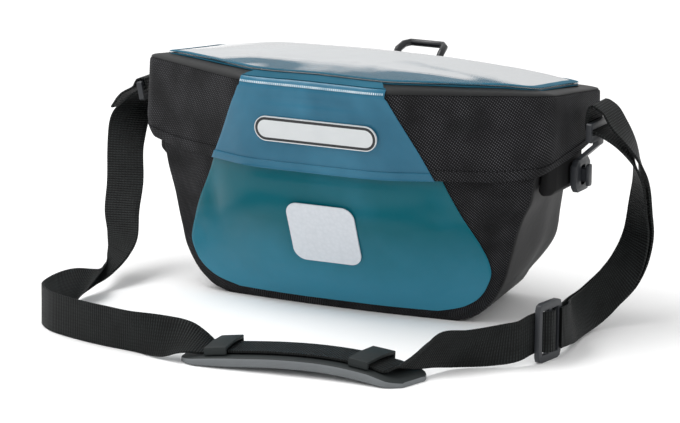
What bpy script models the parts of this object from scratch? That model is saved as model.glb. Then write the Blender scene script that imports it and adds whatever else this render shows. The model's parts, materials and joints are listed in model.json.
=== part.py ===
"""A bicycle handlebar bag with a shoulder strap, built in metres with +Z up.

The origin is the middle of the bag's flat base, the front faces -Y and X is the long way.
Sections and routes are short tables. Their shares follow the named sizes above them."""

import math

import bmesh
import bpy
from mathutils import Matrix, Vector

for old in list(bpy.data.objects):
    bpy.data.objects.remove(old, do_unlink=True)

MM = 0.001
SEAT = 0.3 * MM  # the gap between pieces that touch
SKIN_GAP = 0.8 * MM  # the same under a skin on a rounded wall, whose facets differ from its own

# Body
BODY_HALF = 127 * MM  # half width at the front seam, just under the lid
BODY_DEPTH = 120 * MM  # from the front face to the back panel, just under the lid
BACK_FACE = 45.5 * MM  # the back panel's place
BASE_RISE = 3 * MM  # the small round between base and walls
WALL = 2 * MM

# Lid
LID_HALF = BODY_HALF + 11 * MM
LID_FRONT = BODY_DEPTH * 0.636 + 8.2 * MM  # from the origin forward to the front crease
LID_BACK = BACK_FACE + 2.7 * MM
LID_CORNER = 37.5 * MM  # from the origin forward to where the side begins
FLAT_HALF = 48 * MM  # half of the front's flat middle, at the crease
CREASE_HEIGHT = 145.3 * MM
BODY_HEIGHT = CREASE_HEIGHT - 5.3 * MM  # the body's rim
SKIRT_DEPTH = 52.8 * MM  # from the crease down to the hem at the front
LEAN_HEIGHT = CREASE_HEIGHT - SKIRT_DEPTH - 0.5 * MM  # how high the front face goes on leaning out
HEM_SETBACK = 6 * MM  # how far the hem stands behind the crease
HEM_CORNER = 4 * MM  # how far the hem's side corner stands before the crease's
HEM_FLARE = 1 * MM
HEM_RISE = 19 * MM  # how much higher the hem is at the back than at the front
BACK_DROP = 9.5 * MM  # how much lower the lid's edge is at the back
CROWN = 9.5 * MM  # how far the lid's middle swells above the crease
MARGIN = 11.5 * MM  # from the crease in to the map pocket
LID_WALL = 2 * MM

# Panels, pocket and plates
PANEL = 0.9 * MM
PANEL_HALF = 102.6 * MM
FILM = 0.8 * MM
BADGE_HALF = 41 * MM
BADGE_TALL = 15.6 * MM
BADGE_THICK = 1.4 * MM
BADGE_HEIGHT = CREASE_HEIGHT - 26.8 * MM
BADGE_SIDE = 3.5 * MM  # how far right of the middle the badge and the reflector sit
REFLECTOR_WIDE = 46 * MM
REFLECTOR_TALL = 42 * MM
REFLECTOR_THICK = 0.8 * MM
REFLECTOR_HEIGHT = LEAN_HEIGHT * 0.5815

# Side fittings, the same on both sides
FITTING_Z = CREASE_HEIGHT - SKIRT_DEPTH - 2.5 * MM
TAB_OUT = LID_HALF - LID_WALL - 0.2 * MM
TAB_LOW = FITTING_Z - 9.5 * MM
TAB_HIGH = FITTING_Z + 21 * MM
TAB_FRONT = -26 * MM
TAB_BACK = 22 * MM
TAB_EDGE = 4 * MM  # the slope round the tab's outer face
FITTING_Y = 6.5 * MM  # the stud's place
STUD_PLATE = (1.4 * MM, 16 * MM, 13 * MM)  # thick, wide, tall
STUD_HEAD = (2 * MM, 5.5 * MM, 13.6 * MM)
NECK_WIDE = 4 * MM
NECK_TALL = 8.6 * MM
HOOK_THICK = 3.5 * MM
HOOK_WIDE = 22 * MM
HOOK_TALL = 20 * MM
HOOK_SLOT = (7 * MM, 12.5 * MM)
HOOK_ARM = 9 * MM
HOOK_OFFSET = 11 * MM  # how far the arm carries the loop outwards
HOOK_RISE = 10 * MM  # the arm's sloping part
HOOK_SHANK = 3 * MM
HOOK_BAR = 4 * MM
HOOK_WINDOW = 4 * MM
HOOK_PLAY = 0.7 * MM  # between the stud's plate and the hook
HOOK_SWING = {"right": 0, "left": 12}  # degrees outwards
SWUNG_PLAY = 1.2 * MM  # the play that the left hook's swing adds

# Strap
WEBBING = 25 * MM
WEBBING_THICK = 1.5 * MM
LAYER_GAP = 2 * MM
WEBBING_STEP = 7 * MM
SQUARENESS = 0.3  # how far the width is squared to the route where the webbing twists
PAD_WIDE = 40 * MM
PAD_THICK = 6 * MM
PAD_TIP = 3 * MM
PAD_NARROW = 0.5  # how much narrower its ends are, as a share
BRIDGE_LONG = 14 * MM
BRIDGE_WALL = 2 * MM
SLIDER_TALL = 36 * MM
SLIDER_LONG = 25 * MM
SLIDER_THICK = 3.5 * MM
SLIDER_BAR = 3.5 * MM
SLIDER_TURN = -8  # degrees

# Rear
ADAPTER_HALF = 33 * MM
ADAPTER_LOW = 48 * MM
ADAPTER_HIGH = 106 * MM
ADAPTER_DEEP = 22 * MM
ADAPTER_ROUND = 3 * MM
LOOP_HALF = 15 * MM
LOOP_RADIUS = 2.4 * MM
LOOP_FOOT = 62 * MM  # y where the loop stands on the adapter
LOOP_BACK = 84 * MM
LOOP_HEIGHT = 146 * MM

parts = bpy.data.collections.new("Handlebar bag")
cutters = bpy.data.collections.new("Cutters")
bpy.context.scene.collection.children.link(parts)
bpy.context.scene.collection.children.link(cutters)


def srgb(code):
    """A six-figure sRGB colour as linear values."""
    values = [int(code[i : i + 2], 16) / 255 for i in (0, 2, 4)]
    return [v / 12.92 if v <= 0.04045 else ((v + 0.055) / 1.055) ** 2.4 for v in values]


def material(name, colour, roughness, metallic=0.0):
    made = bpy.data.materials.new(name)
    made.use_nodes = True
    shader = made.node_tree.nodes["Principled BSDF"]
    shader.inputs["Base Color"].default_value = (*srgb(colour), 1)
    shader.inputs["Roughness"].default_value = roughness
    shader.inputs["Metallic"].default_value = metallic
    return made


def add(name, mesh, look):
    obj = bpy.data.objects.new(name, mesh)
    parts.objects.link(obj)
    obj.data.materials.append(material(name, *look))
    return obj


def loft(name, rings, closed=True, start=False, end=False):
    """A mesh through rings of equal length, with a face over either end if asked."""
    bm = bmesh.new()
    rows = [[bm.verts.new(p) for p in ring] for ring in rings]
    count = len(rings[0])
    for low, high in zip(rows, rows[1:]):
        for i in range(count if closed else count - 1):
            j = (i + 1) % count
            bm.faces.new((low[i], low[j], high[j], high[i]))
    if start:
        bm.faces.new(rows[0][::-1])
    if end:
        bm.faces.new(rows[-1])
    mesh = bpy.data.meshes.new(name)
    bm.to_mesh(mesh)
    bm.free()
    return mesh


def outward(obj, middle):
    """Turns an open surface's faces away from a point inside the bag."""
    faces = obj.data.polygons
    facing = sum((f.center - middle).dot(f.normal) * f.area for f in faces)
    if facing < 0:
        obj.data.flip_normals()


def close(obj):
    """Points a closed mesh's faces outwards."""
    bm = bmesh.new()
    bm.from_mesh(obj.data)
    bmesh.ops.recalc_face_normals(bm, faces=bm.faces)
    bm.to_mesh(obj.data)
    bm.free()


def thicken(obj, thickness, offset):
    wall = obj.modifiers.new("Wall", "SOLIDIFY")
    wall.thickness = thickness
    wall.offset = offset
    wall.use_even_offset = True


def lerp(a, b, t):
    return a + (b - a) * t


def table(rows, x):
    """Reads a two-column table at x, in straight lines between its rows."""
    if x <= rows[0][0]:
        return rows[0][1]
    for (x0, y0), (x1, y1) in zip(rows, rows[1:]):
        if x <= x1:
            return lerp(y0, y1, (x - x0) / (x1 - x0))
    return rows[-1][1]


# Plans: half of the bag's outline seen from above is five points joined by straight lines,
# from the middle of the front round to the middle of the back.
FLAT_STEPS, FRONT_CORNER_STEPS, FACET_STEPS, SIDE_CORNER_STEPS = 2, 4, 2, 4
SIDE_STEPS, BACK_CORNER_STEPS, BACK_STEPS = 3, 4, 2


def straight(a, b, steps):
    return [a.lerp(b, i / steps) for i in range(steps)]


def rounded(before, corner, after, reach, steps):
    start = corner + (before - corner).normalized() * reach
    end = corner + (after - corner).normalized() * reach
    points = []
    for i in range(steps + 1):
        t = i / steps
        points.append(start * (1 - t) ** 2 + corner * 2 * t * (1 - t) + end * t**2)
    return points


def half_plan(front, flat, seam, back, reach):
    """front: y. flat: x. seam, back: (x, y). reach: how far each corner's round starts from it."""
    a, f = Vector((0, front)), Vector((flat, front))
    s, b = Vector(seam), Vector(back)
    e = Vector((0, b.y))
    first = rounded(a, f, s, reach[0], FRONT_CORNER_STEPS)
    second = rounded(f, s, b, reach[1], SIDE_CORNER_STEPS)
    third = rounded(s, b, e, reach[2], BACK_CORNER_STEPS)
    half = straight(a, first[0], FLAT_STEPS) + first[:-1]
    half += straight(first[-1], second[0], FACET_STEPS) + second[:-1]
    half += straight(second[-1], third[0], SIDE_STEPS) + third[:-1]
    return half + straight(third[-1], e, BACK_STEPS) + [e]


def whole(half):
    """A half plan and its mirror image, once round."""
    return half + [Vector((-p.x, p.y)) for p in half[-2:0:-1]]


def inset(plan, distance):
    """The same plan with its four lines moved in by the same distance."""
    front, flat, seam, back, reach = plan
    corners = [Vector((0, front)), Vector((flat, front)), Vector(seam), Vector(back)]
    lines = list(zip(corners, corners[1:])) + [(corners[3], Vector((0, back[1])))]
    moved = []
    for a, b in lines:
        along = (b - a).normalized()
        inward = Vector((-along.y, along.x))
        moved.append((a + inward * distance, along))
    meets = []
    for (p, u), (q, v) in zip(moved, moved[1:]):
        t = (q - p).cross(v) / u.cross(v)
        meets.append(p + u * t)
    f, s, b = meets
    return f.y, f.x, tuple(s), tuple(b), [max(r - distance * 0.4, 3 * MM) for r in reach]


# Body sections, each a share of the named size: height of LEAN_HEIGHT, then x of BODY_HALF
# and y of BODY_DEPTH. The last two rows are under the lid.
BODY_SECTIONS = [
    # height, front_y, seam_x, seam_y, back_x
    (0.000, -0.350, 0.630, -0.316, 0.565),
    (0.033, -0.366, 0.700, -0.321, 0.618),
    (0.080, -0.382, 0.750, -0.321, 0.665),
    (0.130, -0.400, 0.790, -0.321, 0.705),
    (0.200, -0.424, 0.827, -0.321, 0.738),
    (0.300, -0.458, 0.864, -0.321, 0.800),
    (0.430, -0.502, 0.889, -0.320, 0.868),
    (0.650, -0.576, 0.929, -0.315, 0.900),
    (0.960, -0.613, 1.000, -0.290, 0.925),
    (1.080, -0.617, 1.005, -0.280, 0.930),
    (BODY_HEIGHT / LEAN_HEIGHT, -0.636, 1.012, -0.262, 0.945),
]
BODY_FLAT = 0.37  # the front's flat middle, as a share of the seam's x
BODY_REACH = (26 * MM, 3.5 * MM, 12 * MM)


def body_plan(row):
    height, front_y, seam_x, seam_y, back_x = row
    back_y = BACK_FACE - (BASE_RISE if height == 0 else 0)
    seam = (seam_x * BODY_HALF, seam_y * BODY_DEPTH)
    front = front_y * BODY_DEPTH
    return front, seam[0] * BODY_FLAT, seam, (back_x * BODY_HALF, back_y), BODY_REACH


def body_height(row):
    return row[0] * LEAN_HEIGHT


def body_ring(row):
    return [Vector((p.x, p.y, body_height(row))) for p in whole(half_plan(*body_plan(row)))]


def body_half_at(z):
    """The half plan at a height, between the two nearest sections."""
    rows = BODY_SECTIONS
    for low, high in zip(rows, rows[1:]):
        if z <= body_height(high):
            t = (z - body_height(low)) / (body_height(high) - body_height(low))
            a, b = half_plan(*body_plan(low)), half_plan(*body_plan(high))
            return [p.lerp(q, t) for p, q in zip(a, b)]
    return half_plan(*body_plan(rows[-1]))


def across(half, x):
    """The front's y where the half plan reaches x."""
    x = abs(x)
    for p, q in zip(half, half[1:]):
        if p.x <= x <= q.x:
            return lerp(p.y, q.y, (x - p.x) / (q.x - p.x))
    return half[-1].y


def side_at(half, y):
    """The side wall's x at y."""
    start = FLAT_STEPS + FRONT_CORNER_STEPS + FACET_STEPS
    for p, q in zip(half[start:], half[start + 1 :]):
        if p.y <= y <= q.y:
            return lerp(p.x, q.x, (y - p.y) / (q.y - p.y))
    return half[start].x


def body():
    rows = [body_ring(row) for row in BODY_SECTIONS]
    rows[-1] = [Vector((p.x, p.y, BODY_HEIGHT - rim_drop(p.y))) for p in rows[-1]]
    obj = add("bag_body", loft("bag_body", rows, start=True), ("2B2B2E", 0.75))
    outward(obj, Vector((0, 0, LEAN_HEIGHT / 2)))
    thicken(obj, WALL, -1)


# Lid: one ring for the hem, one for the crease, and rings on up to the middle of the crown.
LID_REACH = (15 * MM, 9.5 * MM, 12 * MM)


def rim_drop(y):
    """How much lower the lid's edge is at y than at the front."""
    share = (y + LID_CORNER) / (LID_BACK + LID_CORNER)
    return BACK_DROP * min(max(share, 0), 1)


def crease_plan():
    corner = (LID_HALF, -LID_CORNER)
    return -LID_FRONT, FLAT_HALF, corner, (LID_HALF, LID_BACK), LID_REACH


def hem_plan():
    front = -LID_FRONT + HEM_SETBACK
    corner = (LID_HALF + HEM_FLARE, -LID_CORNER - HEM_CORNER)
    return front, FLAT_HALF * 0.85, corner, (LID_HALF + HEM_FLARE / 2, LID_BACK), LID_REACH


HEM_HEIGHTS = [
    # share of the depth from front to back, share of HEM_RISE
    (0.00, 0.00),
    (0.24, 0.00),
    (0.36, 0.28),
    (0.70, 0.62),
    (1.00, 1.00),
]


def hem_height(y):
    share = (y + LID_FRONT) / (LID_FRONT + LID_BACK)
    return CREASE_HEIGHT - SKIRT_DEPTH + HEM_RISE * table(HEM_HEIGHTS, share)


# How the top rises inside the crease: inset in mm against a share of the rise to the pocket.
SHOULDER = [(0.0, 0.0), (1.2, 0.42), (4.5, 0.78)]
CENTRE = Vector((0, -15 * MM))
CROWN_RINGS = (0.86, 0.68, 0.46, 0.22)


def pocket_rise(p):
    """The pocket edge's height above the crease, more at the front than at the sides."""
    side = abs(p.x) / LID_HALF
    return lerp(0.55 * CROWN, 0.12 * CROWN, side**1.6)


def edge_height(p):
    return CREASE_HEIGHT - rim_drop(p.y) + pocket_rise(p)


def lid_rings():
    crease = whole(half_plan(*crease_plan()))
    hem = whole(half_plan(*hem_plan()))
    heights = [CREASE_HEIGHT - rim_drop(p.y) for p in crease]
    low = [Vector((p.x, p.y, hem_height(p.y))) for p in hem]
    high = [Vector((p.x, p.y, z)) for p, z in zip(crease, heights)]
    rings = [low, [a.lerp(b, 0.5) for a, b in zip(low, high)], high]
    for distance, share in SHOULDER[1:]:
        plan = whole(half_plan(*inset(crease_plan(), distance * MM)))
        rise = [share * pocket_rise(p) for p in plan]
        rings.append([Vector((p.x, p.y, z + r)) for p, z, r in zip(plan, heights, rise)])
    return rings + crown_rings()


def crown_rings():
    """The pocket's edge and the rings inside it."""
    edge = whole(half_plan(*inset(crease_plan(), MARGIN)))
    rings = []
    for share in (1,) + CROWN_RINGS:
        ring = []
        for p in edge:
            q = CENTRE + (p - CENTRE) * share
            z = lerp(CREASE_HEIGHT + CROWN, edge_height(p), share**2)
            ring.append(Vector((q.x, q.y, z)))
        rings.append(ring)
    return rings


def lid():
    obj = add("lid", loft("lid", lid_rings(), end=True), ("2C2C2F", 0.75))
    outward(obj, Vector((0, 0, LEAN_HEIGHT)))
    thicken(obj, LID_WALL, -1)


def sheet(name, rows, gap, thickness, look, closed=False, end=False):
    """A skin that lies a gap outside rows of points on the bag."""
    obj = add(name, loft(name, rows, closed, end=end), look)
    outward(obj, Vector((0, 0, LEAN_HEIGHT)))
    bm = bmesh.new()
    bm.from_mesh(obj.data)
    bm.normal_update()
    for vert in bm.verts:
        vert.co += vert.normal * gap
    bm.to_mesh(obj.data)
    bm.free()
    thicken(obj, thickness, 1)
    return obj


# The front panel's edge: height as a share of LEAN_HEIGHT, half width as a share of PANEL_HALF.
PANEL_EDGE = [
    (0.071, 0.66),
    (0.105, 0.79),
    (0.155, 0.885),
    (0.210, 0.940),
    (0.280, 0.976),
    (0.360, 1.000),
    (0.435, 0.990),
    (0.545, 0.950),
    (0.760, 0.850),
    (0.960, 0.765),
    (1.200, 0.680),
]
PANEL_COLUMNS = 20


def front_panel():
    low, high = PANEL_EDGE[0][0], PANEL_EDGE[-1][0]
    heights = {row[0] for row in PANEL_EDGE}
    heights |= {row[0] for row in BODY_SECTIONS if low < row[0] < high}
    rows = []
    for height in sorted(heights):
        share = table(PANEL_EDGE, height)
        z = height * LEAN_HEIGHT
        half = body_half_at(z)
        row = []
        for i in range(PANEL_COLUMNS + 1):
            x = lerp(-1, 1, i / PANEL_COLUMNS) * share * PANEL_HALF
            row.append(Vector((x, across(half, x), z)))
        rows.append(row)
    sheet("front_panel", rows, SKIN_GAP, PANEL, ("2C6F82", 0.3))


# The lid's coloured strip: its half width in mm at the hem, at the crease and at the pocket.
STRIP_HALF = (75 * MM, 48.5 * MM, 42.5 * MM)


def on_ring(ring, x):
    """The point of a ring's front where it reaches x."""
    for p, q in zip(ring, ring[1:]):
        if p.x <= abs(x) <= q.x:
            point = p.lerp(q, (abs(x) - p.x) / (q.x - p.x))
            return Vector((x, point.y, point.z))
    return ring[0].copy()


def lid_strip():
    low, high, top = STRIP_HALF
    widths = (low, (low + high) / 2, high, lerp(high, top, 0.15), lerp(high, top, 0.45))
    rows = []
    for ring, width in zip(lid_rings(), widths):
        shares = [2 * i / PANEL_COLUMNS - 1 for i in range(PANEL_COLUMNS + 1)]
        rows.append([on_ring(ring, share * width) for share in shares])
    sheet("lid_strip", rows, SKIN_GAP, PANEL, ("3F7D93", 0.25))


def map_pocket():
    rings = crown_rings()
    sheet("pocket_base", rings, SEAT, PANEL, ("3F7D93", 0.3), closed=True, end=True)
    sheet("map_pocket", rings, 2 * SEAT + PANEL, FILM, ("C9D4D8", 0.1), closed=True, end=True)


def front_frame(height):
    """The middle of the lid's front or the body's front at a height: its place and its lean."""
    if height > CREASE_HEIGHT - SKIRT_DEPTH:
        lean = HEM_SETBACK / SKIRT_DEPTH
        y = -LID_FRONT + lean * (CREASE_HEIGHT - height)
    else:
        step = 1 * MM
        y = across(body_half_at(height), 0)
        lean = (y - across(body_half_at(height + step), 0)) / step
    normal = Vector((0, -1, -lean)).normalized()
    return Vector((0, y, height)), normal


def plate(name, width, height, radius, thickness, place, normal, look):
    """A flat rounded plate that stands on a place along the normal."""
    bm = bmesh.new()
    corners = []
    for sx, sy, turn in ((1, 1, 0), (-1, 1, 1), (-1, -1, 2), (1, -1, 3)):
        for i in range(5):
            angle = (turn + i / 4) * math.pi / 2
            x = sx * (width / 2 - radius) + radius * math.cos(angle)
            y = sy * (height / 2 - radius) + radius * math.sin(angle)
            corners.append(bm.verts.new((x, y, 0)))
    face = bm.faces.new(corners)
    grown = bmesh.ops.extrude_face_region(bm, geom=[face])
    moved = [v for v in grown["geom"] if isinstance(v, bmesh.types.BMVert)]
    bmesh.ops.translate(bm, verts=moved, vec=(0, 0, thickness))
    bmesh.ops.recalc_face_normals(bm, faces=bm.faces)
    right = Vector((1, 0, 0))
    up = normal.cross(right)
    frame = Matrix((right, up, normal)).transposed().to_4x4()
    bmesh.ops.transform(bm, matrix=Matrix.Translation(place) @ frame, verts=bm.verts)
    mesh = bpy.data.meshes.new(name)
    bm.to_mesh(mesh)
    bm.free()
    return add(name, mesh, look)


def plates():
    lift = SKIN_GAP + SEAT + PANEL
    side = Vector((BADGE_SIDE, 0, 0))
    place, normal = front_frame(BADGE_HEIGHT)
    place += side
    size = (2 * BADGE_HALF, BADGE_TALL, BADGE_TALL * 0.45, BADGE_THICK)
    plate("badge", *size, place + normal * lift, normal, ("1E1F21", 0.4))
    place, normal = front_frame(REFLECTOR_HEIGHT)
    place += side * 0.7
    size = (REFLECTOR_WIDE, REFLECTOR_TALL, 8 * MM, REFLECTOR_THICK)
    plate("reflector", *size, place + normal * lift, normal, ("CDD1D9", 0.35))


SIDES = {"right": 1, "left": -1}


def side_tab(side):
    """The padded patch that carries the stud, seated on the side wall under the lid's skirt."""
    heights = [TAB_LOW + TAB_EDGE] + [body_height(row) for row in BODY_SECTIONS] + [TAB_HIGH]
    heights = [z for z in heights if TAB_LOW + TAB_EDGE <= z <= TAB_HIGH]
    ends = ((TAB_FRONT, TAB_EDGE), (TAB_FRONT + TAB_EDGE, 0))
    ends += ((TAB_BACK - TAB_EDGE, 0), (TAB_BACK, TAB_EDGE))
    rings = []
    for y, drop in ends:
        inner = [(side_at(body_half_at(z), y) + SKIN_GAP, z) for z in heights]
        out = TAB_OUT - drop
        outer = [(out, TAB_HIGH), (out, TAB_LOW + TAB_EDGE), (out - TAB_EDGE, TAB_LOW)]
        rings.append([Vector((SIDES[side] * x, y, z)) for x, z in inner + outer])
    name = "side_tab_" + side
    close(add(name, loft(name, rings, start=True, end=True), ("303032", 0.8)))


def box_ring(wide, tall, round_, place):
    """A rounded rectangle in the YZ plane at a place."""
    corners = [Vector((sy * wide / 2, sz * tall / 2)) for sy, sz in ((1, 1), (-1, 1), (-1, -1), (1, -1))]
    return [Vector((place.x, place.y + p.x, place.z + p.y)) for p in smoothed(corners, round_)]


def smoothed(corners, reach, steps=2):
    """A closed outline with each of its corners rounded."""
    points = []
    for i, corner in enumerate(corners):
        before, after = corners[i - 1], corners[(i + 1) % len(corners)]
        points += rounded(before, corner, after, reach, steps)
    return points


def side_stud(side):
    """A foot on the tab, a neck through the hook's slot and a head taller than the slot."""
    plate_thick, plate_wide, plate_tall = STUD_PLATE
    head_thick, head_wide, head_tall = STUD_HEAD
    foot = TAB_OUT + SEAT
    hook = hook_middle(side)
    neck_end = hook + HOOK_THICK / 2 + 2 * SWUNG_PLAY + SEAT
    steps = [
        (foot, plate_wide, plate_tall, 3 * MM),
        (foot + plate_thick, plate_wide, plate_tall, 3 * MM),
        (foot + plate_thick, NECK_WIDE, NECK_TALL, 1 * MM),
        (neck_end, NECK_WIDE, NECK_TALL, 1 * MM),
        (neck_end, head_wide, head_tall, 1.5 * MM),
        (neck_end + head_thick, head_wide, head_tall, 1.5 * MM),
    ]
    rings = []
    for x, wide, tall, round_ in steps:
        rings.append(box_ring(wide, tall, round_, Vector((SIDES[side] * x, FITTING_Y, FITTING_Z))))
    name = "side_stud_" + side
    close(add(name, loft(name, rings, start=True, end=True), ("3C3E42", 0.45)))


def hook_middle(side):
    """How far from the bag's middle the hook's lower plate hangs."""
    play = HOOK_PLAY + (SWUNG_PLAY if HOOK_SWING[side] else 0)
    return TAB_OUT + SEAT + STUD_PLATE[0] + play + HOOK_THICK / 2


# Heights on the hook, from the middle of its lower plate
ARM_LOW = HOOK_TALL / 2
ARM_HIGH = ARM_LOW + HOOK_RISE
LOOP_LOW = ARM_HIGH + HOOK_SHANK
WINDOW_LOW = LOOP_LOW + HOOK_BAR
WINDOW_HIGH = WINDOW_LOW + HOOK_WINDOW
LOOP_HIGH = WINDOW_HIGH + HOOK_BAR


def hook_matrix(side):
    """Places the hook at its stud, swung outwards about its lower plate."""
    place = Matrix.Translation((hook_middle(side), FITTING_Y, FITTING_Z))
    swing = Matrix.Rotation(math.radians(HOOK_SWING[side]), 4, "Y")
    return Matrix.Scale(SIDES[side], 4, (1, 0, 0)) @ place @ swing


def hook_outline():
    """Half of the hook's outer edge as y and z, from the bottom up."""
    half_loop = WEBBING / 2 + 3 * MM
    cut = 3.5 * MM
    return [
        (HOOK_WIDE / 2 - cut, -HOOK_TALL / 2),
        (HOOK_WIDE / 2, -HOOK_TALL / 2 + cut),
        (HOOK_WIDE / 2, HOOK_TALL / 2 - cut),
        (HOOK_WIDE / 2 - cut, HOOK_TALL / 2),
        (HOOK_ARM / 2, ARM_LOW),
        (HOOK_ARM / 2, ARM_HIGH),
        (HOOK_ARM / 2, LOOP_LOW),
        (half_loop - SLIDER_BAR / 4, LOOP_LOW),
        (half_loop, LOOP_LOW + SLIDER_BAR / 4),
        (half_loop, LOOP_HIGH - SLIDER_BAR / 4),
        (half_loop - SLIDER_BAR / 4, LOOP_HIGH),
    ]


def flat_mesh(name, outlines, thick):
    """A flat plate with holes, from a filled curve: local x and y in its plane, z through it."""
    curve = bpy.data.curves.new(name, "CURVE")
    curve.dimensions = "2D"
    curve.fill_mode = "BOTH"
    curve.extrude = thick / 2
    for outline in outlines:
        spline = curve.splines.new("POLY")
        spline.points.add(len(outline) - 1)
        spline.use_cyclic_u = True
        for point, place in zip(spline.points, outline):
            point.co = (place[0], place[1], 0, 1)
    guide = bpy.data.objects.new(name, curve)
    cutters.objects.link(guide)
    bpy.context.view_layer.update()
    graph = bpy.context.evaluated_depsgraph_get()
    mesh = bpy.data.meshes.new_from_object(guide.evaluated_get(graph))
    bpy.data.objects.remove(guide, do_unlink=True)
    mesh.materials.clear()
    bm = bmesh.new()
    bm.from_mesh(mesh)
    bmesh.ops.remove_doubles(bm, verts=bm.verts, dist=0.01 * MM)
    bm.to_mesh(mesh)
    bm.free()
    return mesh


def rectangle(wide, tall, middle):
    return [(sx * wide / 2, middle + sy * tall / 2) for sx, sy in ((1, 1), (-1, 1), (-1, -1), (1, -1))]


def hook(side):
    """A flat plate bent outwards at its arm: a slotted plate below, a webbing loop above."""
    half = hook_outline()
    outer = half + [(-y, z) for y, z in reversed(half)]
    slot = smoothed([Vector(p) for p in rectangle(*HOOK_SLOT, 0)], 2 * MM)
    window = rectangle(WEBBING + 2 * MM, HOOK_WINDOW, (WINDOW_LOW + WINDOW_HIGH) / 2)
    name = "hook_" + side
    mesh = flat_mesh(name, [outer, slot, window], HOOK_THICK)
    bm = bmesh.new()
    bm.from_mesh(mesh)
    turn = Matrix(((0, 0, 1), (1, 0, 0), (0, 1, 0))).to_4x4()
    bmesh.ops.transform(bm, matrix=turn, verts=bm.verts)
    for height in (ARM_LOW, ARM_HIGH):
        everything = bm.verts[:] + bm.edges[:] + bm.faces[:]
        bmesh.ops.bisect_plane(bm, geom=everything, plane_co=(0, 0, height), plane_no=(0, 0, 1))
    for vert in bm.verts:
        share = (vert.co.z - ARM_LOW) / (ARM_HIGH - ARM_LOW)
        vert.co.x += HOOK_OFFSET * min(max(share, 0), 1)
    bmesh.ops.transform(bm, matrix=hook_matrix(side), verts=bm.verts)
    bm.to_mesh(mesh)
    bm.free()
    close(add(name, mesh, ("3C3E42", 0.4)))


# Strap: each route is a list of stations, a centre and the way that the width points. A centre is
# a share of TAB_OUT, of BODY_DEPTH and of FITTING_Z.
# The strap lies loose on the ground on its edge, so the stations are where it happens to lie.
RIGHT_RUN = [
    ((1.1561, 0.0625, 1.4700), (0.00, 1.00, 0.00)),
    ((1.2003, 0.0750, 1.3700), (0.00, 1.00, 0.00)),
    ((1.2592, 0.1083, 1.2222), (-0.24, 0.97, 0.00)),
    ((1.3034, 0.1333, 1.0333), (-0.52, 0.85, 0.00)),
    ((1.3071, 0.1375, 0.7889), (-0.735, 0.675, 0.09)),
    ((1.2997, 0.1333, 0.5889), (-0.85, 0.50, 0.10)),
    ((1.2835, 0.1133, 0.4733), (-0.81, 0.42, 0.42)),
    ((1.2526, 0.0725, 0.3578), (-0.71, 0.30, 0.64)),
    ((1.1959, -0.0267, 0.2333), (-0.45, 0.20, 0.87)),
    ((1.1568, -0.1333, 0.1600), (-0.35, -0.03, 0.93)),
    ((1.1510, -0.3242, 0.1400), (-0.28, 0.00, 0.96)),
    ((1.1819, -0.5250, 0.1600), (-0.20, 0.00, 0.98)),
]
AFTER_SLIDER = [
    ((1.1414, -1.0000, 0.1722), (0.06, 0.06, 0.99)),
    ((1.0567, -1.0667, 0.1489), (0.20, 0.25, 0.95)),
    ((0.9462, -1.1833, 0.1422), (0.40, 0.20, 0.88)),
    ((0.8726, -1.3333, 0.1644), (0.35, 0.60, 0.72)),
    ((0.8211, -1.4458, 0.1400), (0.20, 0.94, 0.28)),
]
LEFT_RUN = [
    ((-0.1362, -1.6108, 0.1156), (0.03, 0.97, 0.22)),
    ((-0.1841, -1.6292, 0.1378), (0.10, 0.85, 0.50)),
    ((-0.2798, -1.6542, 0.1411), (0.03, 0.45, 0.89)),
    ((-0.4271, -1.6375, 0.1389), (0.00, 0.00, 1.00)),
    ((-0.5965, -1.6042, 0.1389), (0.00, 0.00, 1.00)),
    ((-0.7879, -1.5458, 0.1389), (0.00, 0.00, 1.00)),
    ((-0.9573, -1.4583, 0.1389), (0.00, 0.00, 1.00)),
    ((-1.0530, -1.3333, 0.1389), (0.00, 0.00, 1.00)),
    ((-1.0751, -1.2083, 0.1422), (0.00, 0.00, 1.00)),
    ((-1.0828, -0.9960, 0.1350), (0.10, 0.35, 0.85)),
    ((-1.0750, -0.8763, 0.1150), (0.15, 0.65, 0.58)),
    ((-1.1150, -0.6521, 0.1050), (-0.05, 0.82, 0.30)),
    ((-1.1298, -0.4767, 0.1444), (-0.42, 0.75, 0.20)),
]
LEFT_RISE = [
    ((-1.1414, -0.3604, 0.2111), (-0.72, 0.55, 0.12)),
    ((-1.1646, -0.2689, 0.2944), (-0.90, 0.25, 0.05)),
    ((-1.1981, -0.2058, 0.4456), (-0.97, 0.00, 0.00)),
    ((-1.2187, -0.1292, 0.6267), (-0.98, -0.15, 0.00)),
    ((-1.2518, -0.0500, 0.9111), (-0.98, -0.20, 0.00)),
    ((-1.2518, 0.0000, 1.0778), (-0.80, -0.60, 0.00)),
    ((-1.2224, 0.0250, 1.2000), (-0.30, -0.95, 0.00)),
]
RETURN_TOP = [
    ((1.2113, 0.0917, 1.2389), (-0.10, 0.99, 0.00)),
]
TAIL = [
    ((-1.2592, 0.0333, 1.2500), (-0.12, -0.99, 0.00)),
    ((-1.3080, 0.0375, 1.1450), (-0.20, -0.98, 0.00)),
]
SLIDER_PLACE = Vector((1.2091 * TAB_OUT, -0.8125 * BODY_DEPTH, SLIDER_TALL / 2))
PAD_STATIONS = [
    # centre x, centre y, underside z as shares, then the share of the thickness from tip to middle
    (-0.1988, -1.5958, 0.0000, 0.0),
    (-0.1252, -1.5833, 0.0500, 0.5),
    (0.0368, -1.5583, 0.2500, 1.0),
    (0.2651, -1.5250, 0.5833, 1.0),
    (0.5007, -1.5000, 0.5833, 1.0),
    (0.7143, -1.5083, 0.2500, 1.0),
    (0.8100, -1.5250, 0.0500, 0.5),
    (0.8689, -1.5417, 0.0000, 0.0),
]
BRIDGES = {"left": -0.0295, "right": 0.648}  # each bridge's middle x as a share of TAB_OUT
PAD_SECTIONS = 15


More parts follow.
